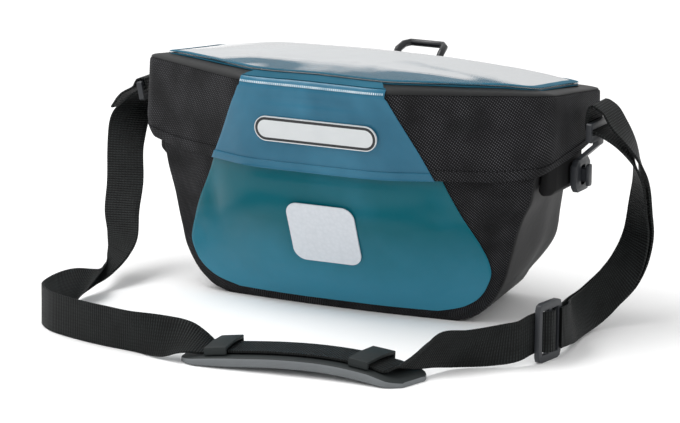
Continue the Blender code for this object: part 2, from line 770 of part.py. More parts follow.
def curve_through(points, lengths, i, u):
    """A smooth curve through vectors: span i, share u of it. Lengths are the spans' own."""
    slopes = []
    for k in (i, i + 1):
        before, after = max(k - 1, 0), min(k, len(lengths) - 1)
        back = (points[before + 1] - points[before]) / lengths[before]
        ahead = (points[after + 1] - points[after]) / lengths[after]
        share = lengths[before] / (lengths[before] + lengths[after])
        slopes.append(back.lerp(ahead, share) * lengths[i])
    p, q = points[i], points[i + 1]
    a, b = slopes
    return p + a * u + ((q - p) * 3 - a * 2 - b) * u**2 + ((p - q) * 2 + a + b) * u**3


def frames(stations):
    """A route in small steps, and each station's row. A step is its centre, direction, width
    direction and normal, then the width direction that its stations ask for."""
    centres = [centre for centre, _ in stations]
    widths = [width for _, width in stations]
    lengths = [(q - p).length for p, q in zip(centres, centres[1:])]
    rows, marks = [], [0]
    for i, length in enumerate(lengths):
        steps = max(round(length / WEBBING_STEP), 2)
        for k in range(steps):
            u = k / steps
            centre = curve_through(centres, lengths, i, u)
            rows.append((centre, curve_through(widths, lengths, i, u)))
        marks.append(len(rows))
    rows.append(stations[-1])
    made = []
    for i, (centre, width) in enumerate(rows):
        ahead, behind = rows[min(i + 1, len(rows) - 1)][0], rows[max(i - 1, 0)][0]
        along = (ahead - behind).normalized()
        squared = (width - along * width.dot(along) * SQUARENESS).normalized()
        made.append((centre, along, squared, along.cross(squared).normalized(), width))
    return made, marks


def weave(pieces):
    """Flat webbing along a route, one node a piece. A piece ends at the next one's first station."""
    stations = [station for _, run in pieces for station in run]
    made, marks = frames(stations)
    first = 0
    for name, run in pieces:
        last = min(first + len(run), len(stations) - 1)
        rows = made[marks[first] : marks[last] + 1]
        first = last
        rings = [webbing_ring(*row[:4]) for row in rows]
        rings[0] = [p + rows[0][1] * SEAT / 2 for p in rings[0]]
        rings[-1] = [p - rows[-1][1] * SEAT / 2 for p in rings[-1]]
        close(add(name, loft(name, rings, start=True, end=True), ("262A2A", 0.7)))


def webbing_ring(centre, _, width, normal):
    """The webbing's section, lifted where it would go below the ground."""
    across_, through = width * WEBBING / 2, normal * WEBBING_THICK / 2
    ring = [centre + across_ + through, centre - across_ + through]
    ring += [centre - across_ - through, centre + across_ - through]
    lift = max(0, -min(p.z for p in ring))
    return [p + Vector((0, 0, lift)) for p in ring]


def stations_of(rows):
    size = Vector((TAB_OUT, BODY_DEPTH, FITTING_Z))
    return [(Vector(centre) * size, Vector(width)) for centre, width in rows]


def at_hook(side, out, up, width):
    """A station beside a hook, in the hook's own x and z."""
    return hook_matrix(side) @ Vector((out, 0, up)), Vector(width)


def round_bar(side, width):
    """From outside through the window under the hook's bar and up its inner side, clear of it."""
    clear = WEBBING_THICK / 2 + SEAT * 1.5
    inner = HOOK_OFFSET - HOOK_THICK / 2
    outer = HOOK_OFFSET + HOOK_THICK / 2
    corner = clear * 0.75
    return [
        at_hook(side, outer + clear, WINDOW_HIGH - clear - 0.9 * MM, width),
        at_hook(side, HOOK_OFFSET, WINDOW_HIGH - clear, width),
        at_hook(side, inner - corner, WINDOW_HIGH - corner, width),
        at_hook(side, inner - clear, (WINDOW_HIGH + LOOP_HIGH) / 2, width),
    ]


def slider_frame():
    turn = Matrix.Rotation(math.radians(SLIDER_TURN), 4, "Z")
    return Matrix.Translation(SLIDER_PLACE) @ turn


def slider_station(along, out):
    """A station in the slider, along its length and out from its plane."""
    return slider_frame() @ Vector((out, along, 0)), Vector((0, 0, 1))


def slider():
    """A frame of three bars that stands on the ground, with the webbing woven through it."""
    pitch = (SLIDER_LONG - SLIDER_BAR) / 2
    window = pitch - SLIDER_BAR
    outer = smoothed([Vector(p) for p in rectangle(SLIDER_LONG, SLIDER_TALL, 0)], 4 * MM)
    holes = []
    for middle in (-pitch / 2, pitch / 2):
        holes.append([(middle + x, y) for x, y in rectangle(window, WEBBING + 2 * MM, 0)])
    mesh = flat_mesh("slider", [outer] + holes, SLIDER_THICK)
    turn = Matrix(((0, 0, 1), (1, 0, 0), (0, 1, 0))).to_4x4()
    mesh.transform(slider_frame() @ turn)
    close(add("slider", mesh, ("3C3E42", 0.4)))


def strap():
    """The whole strap in one route: from the slider up inside to the right hook, back down, through
    the slider and over the pad, and along the ground to the left hook and the tail outside it."""
    wave = SLIDER_THICK / 2 + SEAT * 2 + WEBBING_THICK / 2
    pitch = (SLIDER_LONG - SLIDER_BAR) / 2
    half_bar = SLIDER_BAR * 0.65
    layer = WEBBING_THICK + LAYER_GAP
    run = stations_of(RIGHT_RUN)
    slider_end = slider_station(pitch + SLIDER_BAR, -wave)
    low = [slider_station(pitch - SLIDER_BAR * 0.4, wave)]
    low += [slider_station(pitch + SLIDER_BAR * 0.7, wave)]
    rise = stations_of(RETURN_TOP)
    top = at_hook("right", HOOK_OFFSET, LOOP_HIGH + 10.5 * MM, (0, 1, 0))
    made, marks = frames([top] + run + [slider_end])
    inside = [(row[0] - row[3] * layer, row[4]) for row in made[marks[4] : marks[-2] - 1]]
    left = at_hook("left", HOOK_OFFSET, LOOP_HIGH + WEBBING_THICK / 2 + 2 * SEAT, (0, -1, 0))
    corner = WEBBING_THICK / 2 + SEAT
    over = at_hook("left", HOOK_OFFSET - HOOK_THICK / 2 - corner, LOOP_HIGH + corner, (0, -1, 0))
    down = at_hook("left", HOOK_OFFSET + HOOK_THICK / 2 + corner, LOOP_HIGH + corner, (0, -1, 0))
    out = HOOK_OFFSET + HOOK_THICK / 2 + WEBBING_THICK + 3 * MM
    beside = at_hook("left", out, (WINDOW_HIGH + LOOP_HIGH) / 2 - 1 * MM, (0, -1, 0))
    shares = (0.79, 0.7, 0.6, 0.5, 0.4, 0.3, 0.24)
    weave(
        [
            ("strap_return", low + inside[::-1] + rise + round_bar("right", (0, 1, 0))),
            ("strap_right", [top] + run + [slider_end]),
            ("strap_slider", woven(pitch, half_bar, wave)),
            ("strap_front_right", after_slider(pitch, wave) + stations_of(AFTER_SLIDER)),
            ("strap_pad", [on_pad(share) for share in shares]),
            ("strap_front_left", [on_pad(0.18)] + stations_of(LEFT_RUN)),
            ("strap_left", stations_of(LEFT_RISE) + round_bar("left", (0, -1, 0)) + [over]),
            ("strap_tail", [left, down, beside] + stations_of(TAIL)),
        ]
    )


def woven(pitch, half_bar, wave):
    """Behind the slider's first end bar and over its middle bar."""
    rows = ((pitch, -wave), (pitch - half_bar, -wave), (half_bar, wave), (-half_bar, wave))
    return [slider_station(along, out) for along, out in rows]


def after_slider(pitch, wave):
    """Behind its second end bar."""
    rows = ((-pitch + SLIDER_BAR * 0.65, -wave), (-pitch, -wave), (-pitch - SLIDER_BAR, -wave))
    return [slider_station(along, out) for along, out in rows]


def pad_frame(t):
    """The pad at t counted in stations: centre of the underside, thickness and side direction."""
    rows = [Vector((x * TAB_OUT, y * BODY_DEPTH, z * PAD_THICK)) for x, y, z, _ in PAD_STATIONS]
    shares = [Vector((share, 0, 0)) for _, _, _, share in PAD_STATIONS]
    lengths = [(q - p).length for p, q in zip(rows, rows[1:])]
    i = min(int(t), len(lengths) - 1)
    centre = curve_through(rows, lengths, i, t - i)
    share = min(max(curve_through(shares, lengths, i, t - i).x, 0), 1)
    along = curve_through(rows, lengths, i, t - i + 0.01) - centre
    across_ = Vector((0, 0, 1)).cross(along).normalized()
    return Vector((centre.x, centre.y, max(centre.z, 0))), lerp(PAD_TIP, PAD_THICK, share), across_


def on_pad(share):
    """Where the webbing lies on the pad, at a share of its length."""
    centre, thick, across_ = pad_frame(share * (len(PAD_STATIONS) - 1))
    return centre + Vector((0, 0, thick + 2.5 * SEAT + WEBBING_THICK / 2)), across_


PAD_SECTION = [
    # share of half the width, share of the thickness
    (-0.94, 0.00),
    (0.94, 0.00),
    (1.00, 0.40),
    (0.88, 0.94),
    (0.75, 1.00),
    (-0.75, 1.00),
    (-0.88, 0.94),
    (-1.00, 0.40),
]


def pad():
    last = len(PAD_STATIONS) - 1
    rings = []
    for i in range(PAD_SECTIONS):
        share = i / (PAD_SECTIONS - 1)
        centre, thick, across_ = pad_frame(share * last)
        half = PAD_WIDE / 2 * (1 - PAD_NARROW * abs(2 * share - 1) ** 6)
        ring = []
        for side, up in PAD_SECTION:
            ring.append(centre + across_ * side * half + Vector((0, 0, up * thick)))
        rings.append(ring)
    close(add("shoulder_pad", loft("shoulder_pad", rings, start=True, end=True), ("45494A", 0.6)))


def pad_station(x):
    """The pad's t where its centre line reaches x."""
    rows = [(row[0] * TAB_OUT, i) for i, row in enumerate(PAD_STATIONS)]
    return table(rows, x)


def bridge(side):
    """A band over the webbing, with a foot on the pad at either edge."""
    middle = BRIDGES[side] * TAB_OUT
    inside = WEBBING / 2 + 1.5 * MM
    tall = WEBBING_THICK + 5 * SEAT
    profile = [(-inside, 0), (-inside, tall), (0, tall + 0.6 * MM), (inside, tall), (inside, 0)]
    rings = []
    for place in (-0.5, 0, 0.5):
        centre, thick, across_ = pad_frame(pad_station(middle + place * BRIDGE_LONG))
        base = centre + Vector((0, 0, thick + SEAT))
        rings.append([base + across_ * y + Vector((0, 0, z)) for y, z in profile])
    name = "bridge_" + side
    obj = add(name, loft(name, rings, closed=False), ("45494A", 0.6))
    outward(obj, Vector((middle, rings[1][2].y, 0)))
    thicken(obj, BRIDGE_WALL, 1)


def rear_adapter():
    """The block that clips to the bicycle's bracket, as one plain piece with a flat rear face."""
    bm = bmesh.new()
    bmesh.ops.create_cube(bm, size=1)
    size = Vector((2 * ADAPTER_HALF, ADAPTER_DEEP, ADAPTER_HIGH - ADAPTER_LOW))
    bmesh.ops.scale(bm, vec=size, verts=bm.verts)
    middle = Vector((0, BACK_FACE + SEAT + ADAPTER_DEEP / 2, (ADAPTER_LOW + ADAPTER_HIGH) / 2))
    bmesh.ops.translate(bm, vec=middle, verts=bm.verts)
    mesh = bpy.data.meshes.new("rear_adapter")
    bm.to_mesh(mesh)
    bm.free()
    obj = add("rear_adapter", mesh, ("26282A", 0.5))
    edge = obj.modifiers.new("Round", "BEVEL")
    edge.width = ADAPTER_ROUND
    edge.segments = 2


def loop_handle():
    """The bent rod that stands on the adapter and reaches back over it."""
    knee = LOOP_BACK - 13 * MM
    half = [
        (LOOP_HALF, LOOP_FOOT, ADAPTER_HIGH + SEAT),
        (LOOP_HALF, LOOP_FOOT, ADAPTER_HIGH + 3 * MM),
        (LOOP_HALF, knee - 1.5 * MM, LOOP_HEIGHT - 6 * MM),
        (LOOP_HALF, knee + 2 * MM, LOOP_HEIGHT - 3 * MM),
        (LOOP_HALF - 1 * MM, LOOP_BACK - 4 * MM, LOOP_HEIGHT - 0.6 * MM),
        (LOOP_HALF - 4 * MM, LOOP_BACK, LOOP_HEIGHT),
    ]
    points = half + [(-x, y, z) for x, y, z in reversed(half)]
    curve = bpy.data.curves.new("loop_handle", "CURVE")
    curve.dimensions = "3D"
    curve.bevel_depth = LOOP_RADIUS
    curve.bevel_resolution = 2
    curve.use_fill_caps = True
    spline = curve.splines.new("POLY")
    spline.points.add(len(points) - 1)
    for point, place in zip(spline.points, points):
        point.co = (*place, 1)
    add("loop_handle", curve, ("1F2022", 0.35))


body()
lid()
front_panel()
lid_strip()
map_pocket()
plates()
for side in SIDES:
    side_tab(side)
    side_stud(side)
    hook(side)
    bridge(side)
slider()
strap()
pad()
rear_adapter()
loop_handle()
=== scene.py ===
# %% [markdown]
# # A bicycle handlebar bag with its shoulder strap
# The bag is a welded, waterproof bag: a black fabric shell, a glossy teal front, a stiff lid with a
# clear map pocket, and webbing that lies in a loop on the table. The measured CAD model is loaded
# first and stays as the frame. Each soft part is then made again here, finer and softer, in the
# same place, so nothing has to be fitted by eye afterwards.
# %% Load the frame
import json
import math

import bmesh
import bpy
from mathutils import Matrix, Vector, noise

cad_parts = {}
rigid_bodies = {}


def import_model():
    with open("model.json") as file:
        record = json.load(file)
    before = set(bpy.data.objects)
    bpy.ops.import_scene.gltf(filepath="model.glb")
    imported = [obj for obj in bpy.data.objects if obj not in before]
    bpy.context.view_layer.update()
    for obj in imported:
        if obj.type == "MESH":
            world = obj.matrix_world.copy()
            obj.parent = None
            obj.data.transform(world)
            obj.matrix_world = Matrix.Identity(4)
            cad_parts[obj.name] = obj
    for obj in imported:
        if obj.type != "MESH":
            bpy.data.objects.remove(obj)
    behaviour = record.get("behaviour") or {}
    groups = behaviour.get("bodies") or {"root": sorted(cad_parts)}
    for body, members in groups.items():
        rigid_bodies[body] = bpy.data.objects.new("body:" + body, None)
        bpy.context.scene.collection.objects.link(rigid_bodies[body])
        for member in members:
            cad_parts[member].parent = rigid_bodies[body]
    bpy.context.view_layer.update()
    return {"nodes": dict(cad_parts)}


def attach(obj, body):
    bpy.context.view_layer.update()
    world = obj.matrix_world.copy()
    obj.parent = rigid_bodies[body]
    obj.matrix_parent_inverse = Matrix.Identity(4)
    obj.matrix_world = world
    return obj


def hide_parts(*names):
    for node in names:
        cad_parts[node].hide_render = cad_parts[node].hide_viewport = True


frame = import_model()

MM = 0.001

# %% [markdown]
# ## The camera
# A product photograph is taken from far away with a long lens, so that the bag hardly tapers. The
# camera's bearing, height and distance were solved from the bag's own edges. A lens in millimetres
# comes from the focal length in pixels, because Blender counts it on a 36 mm wide sensor.
# %% Make the camera
IMAGE_WIDE = 680
FOCAL_PIXELS = 4056.67
BEARING, ELEVATION, ROLL = (math.radians(angle) for angle in (25.76, 12.83, 0.61))
DISTANCE = 2525.15 * MM
AIM = Vector((0, -13.5, 75)) * MM
AIM_SHIFT = (-12.29 * MM, -19.19 * MM)


def camera_axes():
    """The camera's right, up and backward directions."""
    flat = math.cos(ELEVATION)
    back = Vector((math.sin(BEARING) * flat, -math.cos(BEARING) * flat, math.sin(ELEVATION)))
    right = Vector((math.cos(BEARING), math.sin(BEARING), 0))
    up = back.cross(right)
    turned = right * math.cos(ROLL) + up * math.sin(ROLL)
    return turned, up * math.cos(ROLL) - right * math.sin(ROLL), back


right, up, back = camera_axes()
lens = bpy.data.cameras.new("studio_camera")
lens.lens = FOCAL_PIXELS * lens.sensor_width / IMAGE_WIDE
camera = bpy.data.objects.new("studio_camera", lens)
axes = Matrix((right, up, back)).transposed().to_4x4()
camera_place = AIM + right * AIM_SHIFT[0] + up * AIM_SHIFT[1] + back * DISTANCE
camera.matrix_world = Matrix.Translation(camera_place) @ axes
bpy.context.scene.collection.objects.link(camera)
bpy.context.scene.camera = camera
print("lens, mm:", round(lens.lens, 1))

# %% [markdown]
# ## Floor and light
# The photograph is lit by big soft lamps in a white room. A white world does the same: it lights
# the bag from everywhere, and the glossy teal and the clear film have something pale to reflect.
# Three large area lamps add the brighter side, the streak along the lid's front crease and a
# little light on the right.
# %% Make the floor and the lights
WORLD_LIGHT = 0.8


def srgb(code):
    """A six-figure sRGB colour as linear values with alpha."""
    values = [int(code[i : i + 2], 16) / 255 for i in (0, 2, 4)]
    return [v / 12.92 if v <= 0.04045 else ((v + 0.055) / 1.055) ** 2.4 for v in values] + [1]


world = bpy.data.worlds.new("white_room")
world.use_nodes = True
world.node_tree.nodes["Background"].inputs["Color"].default_value = srgb("FFFFFF")
world.node_tree.nodes["Background"].inputs["Strength"].default_value = WORLD_LIGHT
bpy.context.scene.world = world
bpy.context.scene.view_settings.view_transform = "Standard"

LAMPS = [
    # name, place in metres, width, height, watts
    ("key_softbox", (-0.9, -1.7, 1.6), 1.2, 1.0, 7),
    ("crease_softbox", (-0.75, -0.1, 1.6), 1.2, 0.7, 17),
    ("right_softbox", (1.9, -0.7, 0.9), 1.0, 1.0, 4),
]


def lamp(name, place, wide, tall, watts):
    """A rectangular soft lamp that faces the bag."""
    light = bpy.data.lights.new(name, "AREA")
    light.shape = "RECTANGLE"
    light.size, light.size_y, light.energy = wide, tall, watts
    obj = bpy.data.objects.new(name, light)
    towards = AIM - Vector(place)
    turn = towards.to_track_quat("-Z", "Y").to_matrix().to_4x4()
    obj.matrix_world = Matrix.Translation(place) @ turn
    bpy.context.scene.collection.objects.link(obj)


for row in LAMPS:
    lamp(*row)

# %% [markdown]
# ## How a finish is made
# Every finish is one Principled shader whose colour, roughness and bump come from a few small
# nodes. One function adds any node, sets its options and fills its inputs, so a material reads
# from top to bottom like a recipe.
# %% Node and material helpers
def add_node(look, kind, inputs=None, **settings):
    """Adds a node to a material, sets its options, and fills inputs with values or links."""
    node = look.node_tree.nodes.new(kind)
    for name, value in settings.items():
        setattr(node, name, value)
    for name, value in (inputs or {}).items():
        if isinstance(value, bpy.types.NodeSocket):
            look.node_tree.links.new(value, node.inputs[name])
        else:
            node.inputs[name].default_value = value
    return node


def new_look(name, roughness, level, ior=1.5):
    """A material and its shader. Level is the strength of its gloss."""
    look = bpy.data.materials.new(name)
    look.use_nodes = True
    shader = look.node_tree.nodes["Principled BSDF"]
    for socket, value in (("Roughness", roughness), ("Specular IOR Level", level), ("IOR", ior)):
        shader.inputs[socket].default_value = value
    return look, shader


def link(look, output, shader, socket):
    look.node_tree.links.new(output, shader.inputs[socket])


def ramp(look, share, low, high, ends=(0, 1)):
    """A colour that goes from low to high as share goes from one end to the other."""
    node = add_node(look, "ShaderNodeValToRGB", {"Fac": share})
    for i, (colour, end) in enumerate(zip((low, high), ends)):
        node.color_ramp.elements[i].color = colour
        node.color_ramp.elements[i].position = end
    return node.outputs["Color"]


def paint(look, shader, share, dark, light, ends=(0, 1)):
    """Colours the surface between two sRGB colours. Ends that are close give a harder edge."""
    link(look, ramp(look, share, srgb(dark), srgb(light), ends), shader, "Base Color")


def wave_scale(period):
    """Blender's wave repeats every 2 pi / 20 units at scale 1."""
    return 2 * math.pi / 20 / period


def threads(look, coordinate, period, turn):
    """Parallel threads one period apart, as a value from 0 to 1. Turn is in degrees about Z."""
    rotation = (0, 0, math.radians(turn))
    turned = add_node(look, "ShaderNodeMapping", {"Vector": coordinate, "Rotation": rotation})
    place = {"Vector": turned.outputs["Vector"], "Scale": wave_scale(period)}
    wave = add_node(look, "ShaderNodeTexWave", place, bands_direction="X")
    return wave.outputs["Fac"]


def combine(look, a, b, kind="MULTIPLY"):
    return add_node(look, "ShaderNodeMath", {0: a, 1: b}, operation=kind).outputs["Value"]


def cloud(look, coordinate, size, detail=3.0):
    """Soft noise whose blotches are about size metres across."""
    place = {"Vector": coordinate, "Scale": 1 / size, "Detail": detail}
    return add_node(look, "ShaderNodeTexNoise", place).outputs["Fac"]


def bump(look, shader, height, depth, strength=1.0):
    """Relief on the surface, with depth in metres."""
    relief = {"Height": height, "Distance": depth, "Strength": strength}
    link(look, add_node(look, "ShaderNodeBump", relief).outputs["Normal"], shader, "Normal")


def coordinates(look, kind="UV"):
    """UV follows the cloth in metres, Object is the place in the room."""
    return add_node(look, "ShaderNodeTexCoord").outputs[kind]


# %% [markdown]
# ## The finishes
# Teal PVC-coated polyester is glossy because the coating is smooth, and a fine diamond weave of
# the fabric below shows through it. The black cordura is coated on the inside only, so its threads
# stand up and catch specks of light. Real threads are about 0.5 mm apart, too fine for the
# picture, so both weaves are drawn 1.3 mm apart.
# %% Coated and woven fabrics
WEAVE = 1.3 * MM


def coated_pvc(name, dark, light, roughness, level, painted_light_zone=None):
    """Glossy coated cloth: a faint diamond weave under a smooth skin, and cloudy colour. Given a
    pair of heights, it gets paler from the upper one down to the lower, a painted reflection of the
    floor."""
    look, shader = new_look(name, roughness, level)
    cloth = coordinates(look)
    weave = combine(look, threads(look, cloth, WEAVE, 45), threads(look, cloth, WEAVE, -45))
    share = cloud(look, cloth, 60 * MM)
    # Painted reflection of the white floor: the front gets paler towards the bottom.
    if painted_light_zone:
        place = add_node(look, "ShaderNodeSeparateXYZ", {"Vector": coordinates(look, "Object")})
        heights = {"Value": place.outputs["Z"], "From Min": painted_light_zone[0], "From Max": painted_light_zone[1]}
        paler_share = add_node(look, "ShaderNodeMapRange", heights).outputs["Result"]
        share = combine(look, combine(look, paler_share, share, "ADD"), 0.6)
    paint(look, shader, share, dark, light, (0.3, 0.8 if painted_light_zone else 0.65))
    bump(look, shader, weave, 0.05 * MM, 0.5)
    return look


def cordura(name, dark, light):
    """Rough black cloth: painted specks of light on raised threads, denser in some patches than in
    others.
    """
    look, shader = new_look(name, 0.72, 0.2)
    cloth = coordinates(look)
    weave = combine(look, threads(look, cloth, WEAVE, 32), threads(look, cloth, WEAVE, -58))
    # Painted specks of light on the threads, in cloudy patches.
    painted_light_zone = combine(look, weave, cloud(look, cloth, 22 * MM, 5.0))
    paint(look, shader, painted_light_zone, dark, light, (0.2, 0.5))
    bump(look, shader, weave, 0.25 * MM, 0.8)
    return look


def smooth_nylon(name, dark, light, roughness=0.6):
    """Plain coated nylon: nearly even, with a slow change of tone and a soft crumple."""
    look, shader = new_look(name, roughness, 0.25)
    cloth = coordinates(look)
    paint(look, shader, cloud(look, cloth, 35 * MM), dark, light)
    bump(look, shader, cloud(look, cloth, 5 * MM), 0.3 * MM, 0.5)
    return look


def ribbed_weld(name, dark, light):
    """A seam pressed with fine ribs across it, its rib crests painted near-white here and there: a
    painted highlight.
    """
    look, shader = new_look(name, 0.25, 0.6)
    cloth = coordinates(look)
    # Broken near-white stripes on the rib crests: a painted highlight along the crease.
    painted_glints = combine(look, threads(look, cloth, WEAVE, 0), cloud(look, cloth, 9 * MM, 5.0))
    paint(look, shader, painted_glints, dark, light, (0.15, 0.5))
    bump(look, shader, painted_glints, 0.2 * MM)
    return look


# The front's paler lower part is a painted reflection of the white floor.
FLOOR_REFLECTION_HEIGHTS = (60 * MM, 10 * MM)  # the heights between which the front gets paler
TEAL_BODY = coated_pvc("teal_coated_polyester", "005C69", "2F7A92", 0.24, 0.22, FLOOR_REFLECTION_HEIGHTS)
# The lid's teal is the same cloth as the body's, drawn bluer and a little lighter as a painted
# reflection.
TEAL_LID_PAINTED_REFLECTION = coated_pvc("teal_coated_polyester_lid_painted_reflection", "1F5C76", "32718C", 0.18, 0.28)
TEAL_WELD_PAINTED_HIGHLIGHT = ribbed_weld("teal_ribbed_weld", "3A7590", "EAF3F6")
# A darker, duller teal for the pocket sheet and its border. On the lid's margin, which faces up,
# its darker colour is painted shade.
TEAL_BASE_AND_PAINTED_MARGIN_SHADE = coated_pvc("teal_pocket_base_cloth", "1F5468", "2C647A", 0.5, 0.05)
BLACK_CLOTH = cordura("black_cordura", "0A0A0C", "545458")
PATCH_CLOTH = cordura("black_cordura_patch", "121213", "4A4A4D")
GUSSET_CLOTH = smooth_nylon("black_coated_nylon", "19191A", "202021")
TAPE = smooth_nylon("black_edge_tape", "141516", "1B1C1D", 0.5)

# %% [markdown]
# Webbing is woven on a narrow loom with thick ribs across it. They are coarse enough to be drawn
# near their real distance. The threads along the webbing lie a little further apart.
# %% Webbing
RIB = 1.6 * MM


def woven_webbing(name, dark, light):
    """Polyamide webbing: ribs across, threads along, a little lighter on the ribs."""
    look, shader = new_look(name, 0.62, 0.18, 1.53)
    cloth = coordinates(look)
    across = threads(look, cloth, RIB, 90)
    along = threads(look, cloth, RIB * 1.3, 0)
    grid = combine(look, across, combine(look, across, along), "ADD")
    paler_share = combine(look, grid, cloud(look, cloth, 12 * MM))
    paint(look, shader, paler_share, dark, light, (0.1, 0.9))
    bump(look, shader, grid, 0.3 * MM, 0.8)
    return look


WEBBING_CLOTH = woven_webbing("black_polyamide_webbing", "020303", "1F2323")

# %% [markdown]
# The hooks, studs and the slider are injection moulded. Their moulds are spark eroded, which leaves
# a fine even grain and a satin gloss. The map pocket is clear soft PVC film. Its pale grey colour
# is a painted reflection of the white room, which shows more and more, and the film gets less
# see-through, the flatter one looks over it, which Layer Weight gives.
# %% Plastics, film and reflective sheet
def moulded(name, dark, light, roughness, grain=0.7 * MM, level=0.4):
    """Moulded plastic with a spark-eroded grain and slightly uneven gloss."""
    look, shader = new_look(name, roughness, level)
    place = coordinates(look, "Object")
    paint(look, shader, cloud(look, place, 14 * MM), dark, light)
    bump(look, shader, cloud(look, place, grain, 1.0), 0.06 * MM, 0.5)
    return look


def clear_film(name):
    """Soft clear PVC: see-through from above, mirror-like at a low angle and covered there by a
    painted reflection in pale grey.
    """
    look, shader = new_look(name, 0.07, 0.5, 1.53)
    place = coordinates(look, "Object")
    # Pale grey colour: a painted reflection of the white room, shown where the film turns opaque.
    paint(look, shader, cloud(look, place, 45 * MM), "B4B7B9", "C2C4C6")
    facing = add_node(look, "ShaderNodeLayerWeight", {"Blend": 0.5}).outputs["Facing"]
    thin, painted_reflection_alpha = (0.1, 0.1, 0.1, 1), (0.9, 0.9, 0.9, 1)
    link(look, ramp(look, facing, thin, painted_reflection_alpha, (0.7, 0.75)), shader, "Alpha")
    bump(look, shader, cloud(look, place, 22 * MM, 1.0), 0.5 * MM, 0.3)
    return look


def reflective_sheet(name):
    """Prismatic sheet: small cells under a clear face, paler than white paper."""
    look, shader = new_look(name, 0.35, 0.5)
    place = {"Vector": coordinates(look, "Object"), "Scale": 1 / (2.4 * MM)}
    cells = add_node(look, "ShaderNodeTexVoronoi", place).outputs["Distance"]
    paint(look, shader, cells, "D9DDE3", "CFD4DA")
    bump(look, shader, cells, 0.05 * MM, 0.4)
    return look


GREY_PLASTIC = moulded("grey_moulded_polyamide", "2A2C30", "303337", 0.42)
BLACK_PLASTIC = moulded("black_moulded_polyamide", "15171A", "1B1D20", 0.5)
ROD = moulded("satin_black_rod", "17181B", "1D1E21", 0.3)
FILM = clear_film("clear_soft_pvc_film")
REFLECTIVE = reflective_sheet("reflective_sheet")
BADGE_DARK = moulded("dark_badge_enamel", "232527", "2A2C2E", 0.35)
BADGE_PALE = moulded("pale_badge_print", "CDD1D3", "D8DBDC", 0.4)
PAD_SIDE = moulded("grey_moulded_foam_rubber", "66696B", "717577", 0.75, 1.6 * MM, 0.2)
PAD_TOP = smooth_nylon("dark_pad_cover", "1E2223", "272C2C", 0.6)
FLOOR_PAINT = moulded("white_studio_floor", "FAFAFA", "FCFCFC", 0.8, 3 * MM, 0.1)

# %% [markdown]
# The floor is a plain white board under the bag. It is far larger than the picture shows, so its
# edge never comes into view.
# %% The floor
FLOOR_HALF = 6.0


def studio_floor():
    bm = bmesh.new()
    bmesh.ops.create_grid(bm, x_segments=1, y_segments=1, size=FLOOR_HALF)
    mesh = bpy.data.meshes.new("studio_floor")
    bm.to_mesh(mesh)
    bm.free()
    obj = bpy.data.objects.new("studio_floor", mesh)
    obj.data.materials.append(FLOOR_PAINT)
    bpy.context.scene.collection.objects.link(obj)


studio_floor()

# %% [markdown]
# ## Sizes of the bag
# These are the same named sizes as in the part's source, in metres. The rows of points that the
# soft pieces are drawn on come from them, so a finer skin lies exactly where the solid does.
# %% The bag's sizes
SEAT = 0.3 * MM
SKIN_GAP = 0.8 * MM
BODY_HALF, BODY_DEPTH, BACK_FACE, BASE_RISE, WALL = (v * MM for v in (127, 120, 45.5, 3, 2))
LID_HALF, LID_FRONT, LID_BACK, LID_CORNER = (v * MM for v in (138, 84.52, 48.2, 37.5))
FLAT_HALF, CREASE_HEIGHT, SKIRT_DEPTH = 48 * MM, 145.3 * MM, 52.8 * MM
HEM_SETBACK, HEM_CORNER, HEM_FLARE, HEM_RISE = 6 * MM, 4 * MM, 1 * MM, 19 * MM
BACK_DROP, CROWN, MARGIN, LID_WALL = 9.5 * MM, 9.5 * MM, 11.5 * MM, 2 * MM
BODY_HEIGHT, LEAN_HEIGHT = 140 * MM, 92 * MM
PANEL, PANEL_HALF, FILM_THICK = 0.9 * MM, 102.6 * MM, 0.8 * MM
TAB_OUT, FITTING_Y, FITTING_Z = 135.8 * MM, 6.5 * MM, 90 * MM
FLAT_STEPS, FRONT_CORNER_STEPS, FACET_STEPS, SIDE_CORNER_STEPS = 8, 10, 12, 8
SIDE_STEPS, BACK_CORNER_STEPS, BACK_STEPS = 14, 8, 8

# %% [markdown]
# ## Drawing a skin
# Soft goods are skins: sheets of fabric that run through a few cross-sections. Here one row of
# points is joined by edges, and Blender's edge extrude draws the next row out of it again and
# again. Each row is then moved to its place. The UV map is laid out in metres while that is
# done, so a weave keeps its real size wherever the cloth goes.
# %% Skin and object helpers
def lerp(a, b, t):
    return a + (b - a) * t


def clamp(value, least=0, most=1):
    return min(max(value, least), most)


def grow_row(bm, verts, edges):
    """Extrudes a row of edges and returns the new row in the same order."""
    made = bmesh.ops.extrude_edge_only(bm, edges=edges)["geom"]
    fresh = {v for v in made if isinstance(v, bmesh.types.BMVert)}
    row = []
    for vert in verts:
        row.append(next(e.other_vert(vert) for e in vert.link_edges if e.other_vert(vert) in fresh))
    return row


def row_edges(bm, row, closed):
    pairs = list(zip(row, row[1:])) + ([(row[-1], row[0])] if closed else [])
    return [bm.edges.get(pair) or bm.edges.new(pair) for pair in pairs]


